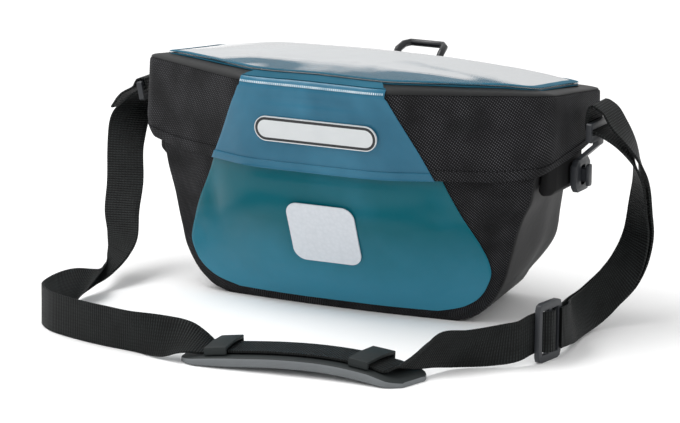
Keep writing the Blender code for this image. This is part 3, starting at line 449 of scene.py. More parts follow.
def lay_uv(bm, rows, closed):
    """Writes UVs in metres: u along the longest row, v from row to row."""
    lengths = [sum((q.co - p.co).length for p, q in zip(row, row[1:])) for row in rows]
    guide = rows[lengths.index(max(lengths))]
    u = [0.0]
    for p, q in zip(guide, guide[1:] + ([guide[0]] if closed else [])):
        u.append(u[-1] + (q.co - p.co).length)
    v = [0.0]
    for low, high in zip(rows, rows[1:]):
        v.append(v[-1] + sum((b.co - a.co).length for a, b in zip(low, high)) / len(low))
    place = {vert: (i, j) for j, row in enumerate(rows) for i, vert in enumerate(row)}
    layer = bm.loops.layers.uv.new("UVMap")
    for face in bm.faces:
        spots = [place[loop.vert] for loop in face.loops]
        wraps = closed and max(i for i, _ in spots) - min(i for i, _ in spots) > 1
        for loop, (i, j) in zip(face.loops, spots):
            loop[layer].uv = (u[len(guide) if wraps and i == 0 else i], v[j])


def skin(rings, closed=True, start=False, end=False):
    """A bmesh skin through rows of points, with a cap over either end if asked."""
    bm = bmesh.new()
    row = [bm.verts.new(p) for p in rings[0]]
    edges = row_edges(bm, row, closed)
    rows = [row]
    for ring in rings[1:]:
        row = grow_row(bm, row, edges)
        for vert, place in zip(row, ring):
            vert.co = place
        edges = row_edges(bm, row, closed)
        rows.append(row)
    lay_uv(bm, rows, closed)
    for wanted, loop in ((start, rows[0]), (end, rows[-1])):
        if wanted:
            bmesh.ops.edgeloop_fill(bm, edges=row_edges(bm, loop, closed))
    return bm, rows


def turn_outwards(bm, middle):
    """Turns an open skin's faces away from a point inside the bag."""
    bm.normal_update()
    facing = sum((f.calc_center_median() - middle).dot(f.normal) * f.calc_area() for f in bm.faces)
    if facing < 0:
        bmesh.ops.reverse_faces(bm, faces=bm.faces)
    bm.normal_update()


PIECES = []


def place_piece(name, bm, looks, nodes=(), sharp=None):
    """Makes the object at the origin, rides it on the bag and hides the solids that it stands for.
    The shading breaks at edges over sharp degrees."""
    mesh = bpy.data.meshes.new(name)
    bm.to_mesh(mesh)
    bm.free()
    obj = bpy.data.objects.new(name, mesh)
    bpy.context.scene.collection.objects.link(obj)
    for look in looks:
        mesh.materials.append(look)
    mesh.shade_smooth()
    if sharp is not None:
        mesh.set_sharp_from_angle(angle=math.radians(sharp))
    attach(obj, "root")
    if nodes:
        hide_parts(*nodes)
    PIECES.append(obj)
    return obj


def wall(obj, thickness, offset, rim_bevel=0):
    """A live Solidify, with its rim rounded by a small Bevel."""
    solid = obj.modifiers.new("Wall", "SOLIDIFY")
    solid.thickness, solid.offset = thickness, offset
    if rim_bevel:
        edge = obj.modifiers.new("Rim", "BEVEL")
        edge.width, edge.segments, edge.angle_limit = rim_bevel, 2, math.radians(50)


# %% [markdown]
# ## The bag's plan
# Seen from above the bag has a flat front, two slanting facets, straight sides and a flat back.
# Half of that plan is five points with rounded corners, and the other half is its mirror image.
# %% Plan helpers
def table(rows, x):
    """Reads a two-column table at x, in straight lines between its rows."""
    if x <= rows[0][0]:
        return rows[0][1]
    for (x0, y0), (x1, y1) in zip(rows, rows[1:]):
        if x <= x1:
            return lerp(y0, y1, (x - x0) / (x1 - x0))
    return rows[-1][1]


def straight(a, b, steps):
    return [a.lerp(b, i / steps) for i in range(steps)]


def rounded(before, corner, after, reach, steps):
    start = corner + (before - corner).normalized() * reach
    end = corner + (after - corner).normalized() * reach
    points = []
    for i in range(steps + 1):
        t = i / steps
        points.append(start * (1 - t) ** 2 + corner * 2 * t * (1 - t) + end * t**2)
    return points


def half_plan(front, flat, seam, back_corner, reach):
    """Half of the outline, from the middle of the front round to the middle of the back."""
    a, f = Vector((0, front)), Vector((flat, front))
    s, b = Vector(seam), Vector(back_corner)
    e = Vector((0, b.y))
    first = rounded(a, f, s, reach[0], FRONT_CORNER_STEPS)
    second = rounded(f, s, b, reach[1], SIDE_CORNER_STEPS)
    third = rounded(s, b, e, reach[2], BACK_CORNER_STEPS)
    half = straight(a, first[0], FLAT_STEPS) + first[:-1]
    half += straight(first[-1], second[0], FACET_STEPS) + second[:-1]
    half += straight(second[-1], third[0], SIDE_STEPS) + third[:-1]
    return half + straight(third[-1], e, BACK_STEPS) + [e]


def whole(half):
    return half + [Vector((-p.x, p.y)) for p in half[-2:0:-1]]


LEAST_REACH = 3 * MM


def inset(plan, distance):
    """The same plan with its four lines moved in by a distance, and its corners less round."""
    front, flat, seam, back_corner, reach = plan
    corners = [Vector((0, front)), Vector((flat, front)), Vector(seam), Vector(back_corner)]
    lines = list(zip(corners, corners[1:])) + [(corners[3], Vector((0, back_corner[1])))]
    moved = []
    for a, b in lines:
        along = (b - a).normalized()
        moved.append((a + Vector((-along.y, along.x)) * distance, along))
    meets = []
    for (p, u), (q, v) in zip(moved, moved[1:]):
        meets.append(p + u * ((q - p).cross(v) / u.cross(v)))
    f, s, b = meets
    return f.y, f.x, tuple(s), tuple(b), [max(r - distance * 0.4, LEAST_REACH) for r in reach]


def curve_through(points, lengths, i, u):
    """A smooth curve through vectors: span i, share u of it. Lengths are the spans' own."""
    slopes = []
    for k in (i, i + 1):
        before, after = max(k - 1, 0), min(k, len(lengths) - 1)
        behind = (points[before + 1] - points[before]) / lengths[before]
        ahead = (points[after + 1] - points[after]) / lengths[after]
        share = lengths[before] / (lengths[before] + lengths[after])
        slopes.append(behind.lerp(ahead, share) * lengths[i])
    p, q = points[i], points[i + 1]
    a, b = slopes
    return p + a * u + ((q - p) * 3 - a * 2 - b) * u**2 + ((p - q) * 2 + a + b) * u**3


# %% [markdown]
# ## Sag and puckers
# Welded cloth is never flat. It pulls into short puckers beside a seam and hangs a little hollow
# between its edges. A sculptor would press these in with a brush. Here each stroke is a row: its
# place, how far it reaches and how deep it presses, and all skins get the same strokes, so that
# they stay on each other.
# %% Sculpting strokes
STROKES = [
    # place (x, y, z), reach (x, y, z), push outwards, all in mm
    ((-92, -62, 70), (9, 40, 16), 1.6),
    ((-80, -70, 64), (8, 40, 14), -1.5),
    ((-98, -55, 40), (12, 40, 9), -1.0),
    ((84, -66, 62), (8, 40, 12), 1.4),
    ((72, -70, 72), (9, 40, 10), -1.4),
    ((95, -55, 44), (10, 40, 12), -1.0),
    ((0, -74, 84), (70, 40, 5), -0.9),
    ((0, -72, 66), (60, 40, 9), 0.7),
    ((0, -66, 28), (70, 40, 10), 0.9),
    ((112, -46, 85), (12, 30, 3.5), -2.2),
    ((118, -38, 78), (9, 30, 6), 1.4),
    ((-110, -46, 84), (12, 30, 5), -1.4),
    ((124, 5, 60), (30, 14, 26), 1.2),
    ((124, 20, 30), (30, 10, 14), -1.5),
    ((-124, 8, 50), (30, 16, 24), 1.3),
    ((0, 46, 40), (60, 30, 20), -1.2),
    # the lid's skirt
    ((-6, -85, 137), (46, 30, 2.6), -0.9),
    ((8, -85, 131.5), (40, 30, 3.0), 0.6),
    ((20, -84, 108), (60, 30, 9), -0.7),
    ((-95, -62, 130), (26, 30, 9), 0.9),
    ((-118, -52, 112), (16, 30, 12), -0.9),
    ((96, -62, 124), (22, 30, 14), 0.8),
    ((70, -74, 112), (8, 30, 16), -0.8),
    ((138, 0, 125), (30, 26, 9), 1.0),
    ((-138, 5, 122), (30, 26, 10), 1.0),
]


UNEVEN = ((0.35, 34), (0.12, 11))  # height and size of the cloth's own waves, in mm


def closeness(place, middle, reach):
    """1 at a stroke's middle, and next to nothing at twice its reach."""
    return math.exp(-sum(((place[k] / MM - middle[k]) / reach[k]) ** 2 for k in range(3)))


def pressed(place):
    """How far the strokes and the cloth's own unevenness push a point outwards."""
    push = sum(depth * closeness(place, middle, reach) for middle, reach, depth in STROKES)
    push += sum(high * noise.noise(place / (size * MM)) for high, size in UNEVEN)
    return push * MM


def push_out(bm, distance):
    """Moves each point along its normal by the distance that belongs to its place."""
    bm.normal_update()
    moves = [(v, v.normal * distance(v.co)) for v in bm.verts]
    for vert, move in moves:
        vert.co += move
    bm.normal_update()


def sculpt(bm, keep):
    """Presses the strokes into a skin. Keep is a share that fades them out where it must fit."""
    push_out(bm, lambda place: pressed(place) * keep(place))


# %% [markdown]
# ## The body
# The body is one welded tub: narrow at the base, widest under the lid, leaning forward to the
# front. Its eleven sections are shares of the bag's sizes, and a smooth curve runs through them.
# Cordura covers the front and its facets up to the seam, and smoother coated nylon the sides.
# %% The body's shell
BODY_SECTIONS = [
    # height, front_y, seam_x, seam_y, back_x
    (0.000, -0.350, 0.630, -0.316, 0.565),
    (0.033, -0.366, 0.700, -0.321, 0.618),
    (0.080, -0.382, 0.750, -0.321, 0.665),
    (0.130, -0.400, 0.790, -0.321, 0.705),
    (0.200, -0.424, 0.827, -0.321, 0.738),
    (0.300, -0.458, 0.864, -0.321, 0.800),
    (0.430, -0.502, 0.889, -0.320, 0.868),
    (0.650, -0.576, 0.929, -0.315, 0.900),
    (0.960, -0.613, 1.000, -0.290, 0.925),
    (1.080, -0.617, 1.005, -0.280, 0.930),
    (BODY_HEIGHT / LEAN_HEIGHT, -0.636, 1.012, -0.262, 0.945),
]
BODY_FLAT = 0.37
BODY_REACH = (26 * MM, 3.5 * MM, 12 * MM)
BODY_ROW = 3 * MM
RIM_ROUND = 0.4 * MM
INSIDE = Vector((0, 0, LEAN_HEIGHT / 2))


def fine_sections():
    """The body's sections and smooth ones between them."""
    points = [Vector(row) for row in BODY_SECTIONS]
    heights = [row[0] for row in BODY_SECTIONS]
    lengths = [b - a for a, b in zip(heights, heights[1:])]
    rows = []
    for i, length in enumerate(lengths):
        steps = max(round(length * LEAN_HEIGHT / BODY_ROW), 2)
        for k in range(steps):
            row = curve_through(points, lengths, i, k / steps)
            row[0] = lerp(heights[i], heights[i + 1], k / steps)
            rows.append(tuple(row))
    return rows + [BODY_SECTIONS[-1]]


SECTIONS = fine_sections()


def body_half(row):
    height, front_y, seam_x, seam_y, back_x = row
    rise = 1 - min(height * LEAN_HEIGHT / BASE_RISE, 1)
    back_y = BACK_FACE - BASE_RISE * rise**2
    seam = (seam_x * BODY_HALF, seam_y * BODY_DEPTH)
    corner = (back_x * BODY_HALF, back_y)
    return half_plan(front_y * BODY_DEPTH, seam[0] * BODY_FLAT, seam, corner, BODY_REACH)


def body_half_at(z):
    for low, high in zip(SECTIONS, SECTIONS[1:]):
        if z <= high[0] * LEAN_HEIGHT:
            t = (z / LEAN_HEIGHT - low[0]) / (high[0] - low[0])
            return [p.lerp(q, t) for p, q in zip(body_half(low), body_half(high))]
    return body_half(SECTIONS[-1])


def rim_drop(y):
    """How much lower the lid's edge is at y than at the front."""
    share = (y + LID_CORNER) / (LID_BACK + LID_CORNER)
    return BACK_DROP * clamp(share)


BASE_FADE, BACK_FADE = (4 * MM, 14 * MM), (0.5 * MM, 8 * MM)  # flat this far, and faded in by


def on_base(place):
    """Fades the strokes out near the base and the back, where the bag stands and is mounted."""
    low = clamp((place.z - BASE_FADE[0]) / BASE_FADE[1])
    behind = clamp((BACK_FACE - BACK_FADE[0] - place.y) / BACK_FADE[1])
    return low * behind


def body_ring(row):
    return [Vector((p.x, p.y, row[0] * LEAN_HEIGHT)) for p in whole(body_half(row))]


rings = [body_ring(row) for row in SECTIONS]
rings[-1] = [Vector((p.x, p.y, BODY_HEIGHT - rim_drop(p.y))) for p in rings[-1]]
bm, rows = skin(rings, start=True)
turn_outwards(bm, INSIDE)
count = len(rings[0])
seam = FLAT_STEPS + FRONT_CORNER_STEPS + FACET_STEPS + SIDE_CORNER_STEPS // 2
columns = {vert: i for row in rows for i, vert in enumerate(row)}
for face in bm.faces:
    spots = [min(columns[v], count - columns[v]) for v in face.verts]
    face.material_index = 1 if sum(spots) / len(spots) > seam else 0
sculpt(bm, on_base)
shell = place_piece("body_shell", bm, (BLACK_CLOTH, GUSSET_CLOTH), ["bag_body"])
wall(shell, WALL, -1, RIM_ROUND)
print("body:", len(shell.data.polygons), "faces")

# %% [markdown]
# ## The lid
# The lid is a stiff shell like that of a shoe box: a skirt, a crease round the top, and a crown
# that swells a little. The rows go up the skirt, round the crease in a small curve, in over the
# margin and up the crown. They are lofted in one piece, so the crease stays a continuous line.
# %% The lid's shell
LID_REACH = (15 * MM, 9.5 * MM, 12 * MM)
HEM_HEIGHTS = [(0.00, 0.00), (0.24, 0.00), (0.36, 0.28), (0.70, 0.62), (1.00, 1.00)]
SHOULDER = [(0.0, 0.0), (1.2, 0.42), (4.5, 0.78), (11.5, 1.0)]  # inset in mm, share of the rise
CENTRE = Vector((0, -15 * MM))
SKIRT_ROWS, CROWN_ROWS = 18, 22
CREASE_ROUND = 2.8 * MM  # how far from the crease its round starts
EDGE_INSETS = (3.4, 4.6, 5.8, 7.0, 8.2, 9.4, 10.6)  # mm in from the crease
HEM_FLAT = 0.85  # the flat front at the hem, as a share of the one at the crease
EDGE_RISE, EDGE_FALL = (0.55, 0.12), 1.6  # the pocket edge's rise at the front and at the sides
CROWN_END = 0.97  # how far in the crown's last row lies


def crease_plan():
    corner = (LID_HALF, -LID_CORNER)
    return -LID_FRONT, FLAT_HALF, corner, (LID_HALF, LID_BACK), LID_REACH


def hem_plan():
    front = -LID_FRONT + HEM_SETBACK
    corner = (LID_HALF + HEM_FLARE, -LID_CORNER - HEM_CORNER)
    back_corner = (LID_HALF + HEM_FLARE / 2, LID_BACK)
    return front, FLAT_HALF * HEM_FLAT, corner, back_corner, LID_REACH


def hem_height(y):
    share = (y + LID_FRONT) / (LID_FRONT + LID_BACK)
    return CREASE_HEIGHT - SKIRT_DEPTH + HEM_RISE * table(HEM_HEIGHTS, share)


def pocket_rise(p):
    """The pocket edge's height above the crease, more at the front than at the sides."""
    return lerp(EDGE_RISE[0] * CROWN, EDGE_RISE[1] * CROWN, (abs(p.x) / LID_HALF) ** EDGE_FALL)


def edge_height(p):
    return CREASE_HEIGHT - rim_drop(p.y) + pocket_rise(p)


CREASE = whole(half_plan(*crease_plan()))
HEM = [Vector((p.x, p.y, hem_height(p.y))) for p in whole(half_plan(*hem_plan()))]
HIGH = [Vector((p.x, p.y, CREASE_HEIGHT - rim_drop(p.y))) for p in CREASE]


def inset_row(distance):
    """A row on the lid's top, distance in mm in from the crease."""
    plan = whole(half_plan(*inset(crease_plan(), distance * MM)))
    share = table(SHOULDER, distance)
    heights = [h.z + share * pocket_rise(p) for h, p in zip(HIGH, plan)]
    return [Vector((p.x, p.y, z)) for p, z in zip(plan, heights)]


TUCK, TUCK_SHARE = 5 * MM, 0.27  # how far the skirt's corners curl in, and from what height down
TUCK_REACH, TUCK_BACKWARD = 26 * MM, 0.35


def skirt_row(t):
    """A row on the skirt, 0 at the hem and 1 at the crease. Its side corners curl in below."""
    row = []
    low = max(1 - t / TUCK_SHARE, 0) ** 2
    for a, b in zip(HEM, HIGH):
        p = a.lerp(b, t)
        gap = (p.y + LID_CORNER + HEM_CORNER) / TUCK_REACH
        side = math.exp(-gap * gap) * min(abs(p.x) / LID_HALF, 1) ** 4
        inward = Vector((-math.copysign(1, p.x), TUCK_BACKWARD, 0)).normalized()
        row.append(p + inward * TUCK * low * side)
    return row


def crease_rows(steps=5):
    """The small curve that takes the skirt round into the margin."""
    low, high = skirt_row(1 - CREASE_ROUND / SKIRT_DEPTH), inset_row(CREASE_ROUND / MM)
    made = []
    for k in range(steps + 1):
        t = k / steps
        share = [(1 - t) ** 2, 2 * t * (1 - t), t**2]
        rows = zip(low, HIGH, high)
        made.append([a * share[0] + b * share[1] + c * share[2] for a, b, c in rows])
    return made


def crown_row(share):
    """A row on the crown: 1 is the pocket's edge, 0 its middle."""
    row = []
    for p in whole(half_plan(*inset(crease_plan(), MARGIN))):
        q = CENTRE + (p - CENTRE) * share
        row.append(Vector((q.x, q.y, lerp(CREASE_HEIGHT + CROWN, edge_height(p), share**2))))
    return row


SKIRT = [skirt_row((1 - CREASE_ROUND / SKIRT_DEPTH) * k / SKIRT_ROWS) for k in range(SKIRT_ROWS)]
MARGIN_ROWS = [inset_row(distance) for distance in EDGE_INSETS]
CROWN_SHARES = [1 - CROWN_END * (k / CROWN_ROWS) for k in range(CROWN_ROWS + 1)]
CROWN_SKIN = [crown_row(share) for share in CROWN_SHARES]
LID_ROWS = SKIRT + crease_rows() + MARGIN_ROWS + CROWN_SKIN
LID_INSIDE = Vector((0, 0, LEAN_HEIGHT))
HINGE_FADE, HINGE_LEAST = 10 * MM, 0.2


def on_lid(place):
    """Fades the strokes at the back panel, where the lid's own fabric is the hinge."""
    return clamp((LID_BACK - place.y) / HINGE_FADE, HINGE_LEAST)


bm, _ = skin(LID_ROWS, end=True)
turn_outwards(bm, LID_INSIDE)
sculpt(bm, on_lid)
lid = place_piece("lid_shell", bm, (BLACK_CLOTH,), ["lid"])
wall(lid, LID_WALL, -1, RIM_ROUND)
print("lid:", len(lid.data.polygons), "faces")

# %% [markdown]
# Skins that are welded onto the bag are drawn on the same rows, lifted by a hair, and pressed by
# the same strokes. One function makes those on the lid: the tapes, the teal strip and its weld,
# and the pocket's sheet and border.
# %% Skins that lie on the lid
def laid_skin(name, rings, gap, thickness, look, slot, nodes=(), **shape):
    """A skin that lies a gap outside rows of points on the lid."""
    bm, _ = skin(rings, **shape)
    turn_outwards(bm, LID_INSIDE)
    push_out(bm, lambda place: gap)
    sculpt(bm, on_lid)
    piece = place_piece(name, bm, (look,), nodes)
    wall(piece, thickness, 1, min(SHEET_ROUND, thickness / 3))


SHEET_ROUND, TAPE_GAP = 0.3 * MM, 0.02 * MM
HEM_BAND, HEM_THICK, HEM_START = 6.5 * MM, 0.7 * MM, 0.003  # the start is a share of the skirt
TAPE_THICK, TAPE_FROM = 0.6 * MM, 3  # the tape starts at this one of the crease's rows
TAPE_INSETS = EDGE_INSETS[:-1] + (10.8,)
hem_rows = [skirt_row(HEM_BAND / SKIRT_DEPTH * k / 4 + HEM_START) for k in range(5)]
laid_skin("lid_hem_band", hem_rows, TAPE_GAP, HEM_THICK, BLACK_CLOTH, "black_cloth")
tape_rows = crease_rows()[TAPE_FROM:] + [inset_row(distance) for distance in TAPE_INSETS]
laid_skin("lid_edge_tape", tape_rows, TAPE_GAP, TAPE_THICK, TAPE, "black_cloth")

# %% [markdown]
# The teal strip runs from the hem up over the crease to the pocket and gets narrower on the way.
# Each of its rows is cut out of the lid's own row to the width that it has at that height. A fine
# ribbed weld follows the crease, with a painted highlight of broken near-white stripes, and past it
# the strip has the pocket sheet's darker, duller teal, whose darker colour there is painted shade.
# %% The lid's teal strip and its hem
STRIP_HALF = (75 * MM, 48.5 * MM, 42.5 * MM)  # at the hem, at the crease and at the pocket
STRIP_COLUMNS = 60
WELD_STEPS, WELD_SPAN = 16, slice(7, 11)  # the weld takes these of the crease's finer rows
WELD_INSET, WELD_THICK = 0.5 * MM, 0.5 * MM
TEAL_HEM, TEAL_HEM_THICK, TEAL_HEM_START = 0.8 * HEM_BAND, 0.8 * MM, 0.004  # start as above


def on_ring(ring, x):
    """The point of a ring's front where it reaches x."""
    for p, q in zip(ring, ring[1:]):
        if p.x <= abs(x) <= q.x:
            point = p.lerp(q, (abs(x) - p.x) / (q.x - p.x))
            return Vector((x, point.y, point.z))
    return ring[0].copy()


def cut_row(ring, half):
    return [on_ring(ring, half * (2 * i / STRIP_COLUMNS - 1)) for i in range(STRIP_COLUMNS + 1)]


def teal_skin(name, rows, gap, thickness, look=TEAL_LID_PAINTED_REFLECTION, nodes=()):
    laid_skin(name, rows, gap, thickness, look, "teal_cloth", nodes, closed=False)


low_half, crease_half, top_half = STRIP_HALF
strip_rows = []
for k in range(SKIRT_ROWS + 1):
    share = (1 - CREASE_ROUND / SKIRT_DEPTH) * k / SKIRT_ROWS
    strip_rows.append(cut_row(skirt_row(share), lerp(low_half, crease_half, share)))
for ring in crease_rows()[1:]:
    strip_rows.append(cut_row(ring, crease_half))
teal_skin("lid_teal_strip", strip_rows, SKIN_GAP, PANEL, nodes=["lid_strip"])
# The margin gets the darker teal as painted shade.
margin_strip = [strip_rows[-1]]
for ring, distance in zip(MARGIN_ROWS, EDGE_INSETS):
    margin_strip.append(cut_row(ring, lerp(crease_half, top_half, distance / (MARGIN / MM))))
teal_skin("lid_teal_margin", margin_strip, SKIN_GAP, PANEL, TEAL_BASE_AND_PAINTED_MARGIN_SHADE)
weld_half = crease_half - WELD_INSET
weld_rows = [cut_row(ring, weld_half) for ring in crease_rows(WELD_STEPS)[WELD_SPAN]]
teal_skin("lid_crease_weld", weld_rows, SKIN_GAP + PANEL, WELD_THICK, TEAL_WELD_PAINTED_HIGHLIGHT)
hem_strip = []
for k in range(4):
    share = TEAL_HEM / SKIRT_DEPTH * k / 3 + TEAL_HEM_START
    hem_strip.append(cut_row(skirt_row(share), lerp(low_half, crease_half, share)))
teal_skin("lid_teal_hem", hem_strip, SKIN_GAP + PANEL, TEAL_HEM_THICK)

# %% [markdown]
# ## The map pocket
# A teal base sheet carries a clear film that is welded down round its edge. The weld is a pressed
# band, so the border is its own low strip. The film between swells a little and has soft waves,
# which is what breaks up its reflection.
# %% The map pocket
laid_skin(
    "pocket_base_sheet", CROWN_SKIN, SEAT, PANEL, TEAL_BASE_AND_PAINTED_MARGIN_SHADE, "teal_cloth", ["pocket_base"], end=True
)
FILM_GAP, FILM_SWELL = 2 * SEAT + PANEL, 0.9
BORDER_SHARES, BORDER_THICK = (0.998, 0.985, 0.972, 0.96), 0.4 * MM
FILM_WAVES = [
    # place, reach and height in mm. FILM_SWELL comes on top of each height
    ((-60, -50, 150), (30, 9, 20), 0.8),
    ((20, -58, 152), (22, 7, 20), -0.9),
    ((70, -48, 150), (24, 8, 20), 0.8),
    ((0, -10, 155), (70, 30, 20), -0.6),
    ((95, -20, 150), (14, 24, 20), -0.6),
]
bm, _ = skin(CROWN_SKIN, end=True)
turn_outwards(bm, LID_INSIDE)
push_out(bm, lambda place: FILM_GAP)
sculpt(bm, on_lid)
for vert in bm.verts:
    edge = min(abs(vert.co.x) / (LID_HALF - MARGIN), 1)
    for middle, reach, high in FILM_WAVES:
        vert.co.z += (high + FILM_SWELL) * MM * closeness(vert.co, middle, reach) * (1 - edge**4)
film = place_piece("pocket_film", bm, (FILM,), ["map_pocket"])
wall(film, FILM_THICK, 1)
border_rows = [crown_row(share) for share in BORDER_SHARES]
border_gap = FILM_GAP + FILM_THICK
laid_skin("pocket_weld_border", border_rows, border_gap, BORDER_THICK, TEAL_BASE_AND_PAINTED_MARGIN_SHADE, "teal_cloth")

# %% [markdown]
# ## The front panel
# The teal panel is a separate sheet welded onto the black front. It is narrow at the top, widest a
# third of the way up, and has big round corners below. Its outline is a table of heights and half
# widths with a smooth curve through them.
# %% The front panel
PANEL_EDGE = [
    (0.071, 0.66),
    (0.105, 0.79),
    (0.155, 0.885),
    (0.210, 0.940),
    (0.280, 0.976),
    (0.360, 1.000),
    (0.435, 0.990),
    (0.545, 0.950),
    (0.760, 0.850),
    (0.960, 0.765),
    (1.200, 0.680),
]
PANEL_COLUMNS = 80
PANEL_ROWS, ROWS_DENSER = 56, 1.25  # over 1 puts the rows closer together near the bottom


def across(half, x):
    """The front's y where the half plan reaches x."""
    x = abs(x)
    for p, q in zip(half, half[1:]):
        if p.x <= x <= q.x:
            return lerp(p.y, q.y, (x - p.x) / (q.x - p.x))
    return half[-1].y


def panel_share(height):
    """The panel's half width at a height, on a smooth curve through the table."""
    heights = [row[0] for row in PANEL_EDGE]
    i = max(k for k in range(len(heights) - 1) if heights[k] <= height or k == 0)
    lengths = [b - a for a, b in zip(heights, heights[1:])]
    points = [Vector((row[1], 0)) for row in PANEL_EDGE]
    return curve_through(points, lengths, i, (height - heights[i]) / lengths[i]).x


def panel_row(height):
    z = height * LEAN_HEIGHT
    half = body_half_at(z)
    reach = panel_share(height) * PANEL_HALF
    xs = [reach * (2 * i / PANEL_COLUMNS - 1) for i in range(PANEL_COLUMNS + 1)]
    return [Vector((x, across(half, x), z)) for x in xs]


low, high = PANEL_EDGE[0][0], PANEL_EDGE[-1][0]
shares = [(k / PANEL_ROWS) ** ROWS_DENSER for k in range(PANEL_ROWS + 1)]
bm, _ = skin([panel_row(lerp(low, high, share)) for share in shares], closed=False)
turn_outwards(bm, INSIDE)
push_out(bm, lambda place: SKIN_GAP)
sculpt(bm, on_base)
panel = place_piece("front_teal_panel", bm, (TEAL_BODY,), ["front_panel"])
wall(panel, PANEL, 1, SHEET_ROUND)
print("panel:", len(panel.data.polygons), "faces")

# %% [markdown]
# ## The badge and the reflective patch
# The badge is a long rounded plate: a thin pale rim, a dark band and a pale field, left blank. A
# plate like that starts as a rounded outline, is extruded, and is then inset twice, and each new
# ring of faces gets its own finish. The reflective patch is a die-cut sheet in a plain shape.
# %% Badge and reflective patch
BADGE_HALF, BADGE_TALL, BADGE_THICK = 41 * MM, 15.6 * MM, 1.4 * MM
BADGE_HEIGHT, BADGE_SIDE = CREASE_HEIGHT - 26.8 * MM, 3.5 * MM
PATCH_WIDE, PATCH_TALL, PATCH_THICK = 46 * MM, 42 * MM, 0.8 * MM
PATCH_HEIGHT = LEAN_HEIGHT * 0.5815
PLATE_LIFT = SKIN_GAP + SEAT + PANEL
RIM, BAND, RIM_STEP, BAND_STEP = (v * MM for v in (0.55, 1.7, -0.15, 0.12))
BADGE_ROUND, PATCH_ROUND = BADGE_TALL * 0.495, 8 * MM
PATCH_EDGE, PATCH_STEP, PATCH_SIDE = 0.5 * MM, 0.1 * MM, BADGE_SIDE * 0.7
QUADRANTS = ((1, 1), (-1, 1), (-1, -1), (1, -1))


def front_frame(height):
    """The middle of the lid's front or the body's front at a height: its place and its normal."""
    if height > CREASE_HEIGHT - SKIRT_DEPTH:
        lean = HEM_SETBACK / SKIRT_DEPTH
        y = -LID_FRONT + lean * (CREASE_HEIGHT - height)
    else:
        y = across(body_half_at(height), 0)
        lean = (y - across(body_half_at(height + MM), 0)) / MM
    return Vector((0, y, height)), Vector((0, -1, -lean)).normalized()


def round_off(bm, geom, radius, segments, **options):
    bmesh.ops.bevel(
        bm, geom=geom, offset=radius, segments=segments, profile=0.5, material=-1, **options
    )


def rounded_plate(width, tall, radius, thickness):
    """A flat plate in its own x and y, with its back at z 0."""
    bm = bmesh.new()
    corners = [(x * width / 2, y * tall / 2, 0) for x, y in QUADRANTS]
    face = bm.faces.new([bm.verts.new(c) for c in corners])
    round_off(bm, face.verts[:], radius, 12, affect="VERTICES")
    face = max(bm.faces, key=lambda f: f.calc_area())
    grown = bmesh.ops.extrude_face_region(bm, geom=[face])["geom"]
    moved = [v for v in grown if isinstance(v, bmesh.types.BMVert)]
    bmesh.ops.translate(bm, verts=moved, vec=(0, 0, thickness))
    bmesh.ops.recalc_face_normals(bm, faces=bm.faces)
    return bm


def top_face(bm):
    return max(bm.faces, key=lambda f: (round(f.calc_center_median().z / MM, 2), f.calc_area()))


def stand_on_front(bm, height, side):
    """Turns a flat plate to the bag's front and moves it to its height."""
    place, normal = front_frame(height)
    x_way = Vector((1, 0, 0))
    turn = Matrix((x_way, normal.cross(x_way), normal)).transposed().to_4x4()
    place = place + Vector((side, 0, 0)) + normal * PLATE_LIFT
    bmesh.ops.transform(bm, matrix=Matrix.Translation(place) @ turn, verts=bm.verts)


def inset_top(bm, face, width, step, finish):
    """Insets a face, moves what is inside by step and gives it a finish."""
    bmesh.ops.inset_individual(bm, faces=[face], thickness=width, depth=step)
    face.material_index = finish
    return face


bm = rounded_plate(2 * BADGE_HALF, BADGE_TALL, BADGE_ROUND, BADGE_THICK)
for face in bm.faces:
    face.material_index = 1
field = inset_top(bm, top_face(bm), RIM, RIM_STEP, 0)
inset_top(bm, field, BAND, BAND_STEP, 1)
stand_on_front(bm, BADGE_HEIGHT, BADGE_SIDE)
place_piece("badge_plate", bm, (BADGE_DARK, BADGE_PALE), ["badge"], sharp=30)

bm = rounded_plate(PATCH_WIDE, PATCH_TALL, PATCH_ROUND, PATCH_THICK)
inset_top(bm, top_face(bm), PATCH_EDGE, PATCH_STEP, 0)
stand_on_front(bm, PATCH_HEIGHT, PATCH_SIDE)
place_piece("reflective_patch", bm, (REFLECTIVE,), ["reflector"], sharp=30)

# %% [markdown]
# ## Hard fittings
# Hooks, studs, side patches, slider and rear block have the right shape already, so each is a
# merged copy of its solid with its edges rounded by a bevel, as a mould rounds them. The faces
# between the edges are joined first, because a bevel follows the real edges and not the
# triangles.
# %% Rounded copies of the fittings
def merged_copy(node):
    """A bmesh of a CAD node with its triangles joined into flat faces."""
    bm = bmesh.new()
    bm.from_mesh(frame["nodes"][node].data)
    bmesh.ops.remove_doubles(bm, verts=bm.verts, dist=0.01 * MM)
    limit = math.radians(1)
    bmesh.ops.dissolve_limit(bm, angle_limit=limit, verts=bm.verts, edges=bm.edges)
    bmesh.ops.recalc_face_normals(bm, faces=bm.faces)
    return bm


def fitting(node, radius, look, segments=3, sharp=28):
    """A piece that stands for a CAD node, with its edges over sharp degrees rounded."""
    bm = merged_copy(node)
    edges = [e for e in bm.edges if e.is_manifold and e.calc_face_angle() > math.radians(sharp)]
    round_off(bm, edges, radius, segments, affect="EDGES", clamp_overlap=True)
    place_piece(node + "_moulded", bm, (look,), [node], sharp=40)


for side in ("left", "right"):
    fitting("hook_" + side, 0.8 * MM, GREY_PLASTIC)
    fitting("side_stud_" + side, 0.45 * MM, GREY_PLASTIC)
    fitting("side_tab_" + side, 2 * MM, PATCH_CLOTH, 4)
fitting("slider", 1.1 * MM, GREY_PLASTIC)
print("fittings:", len(PIECES), "pieces so far")

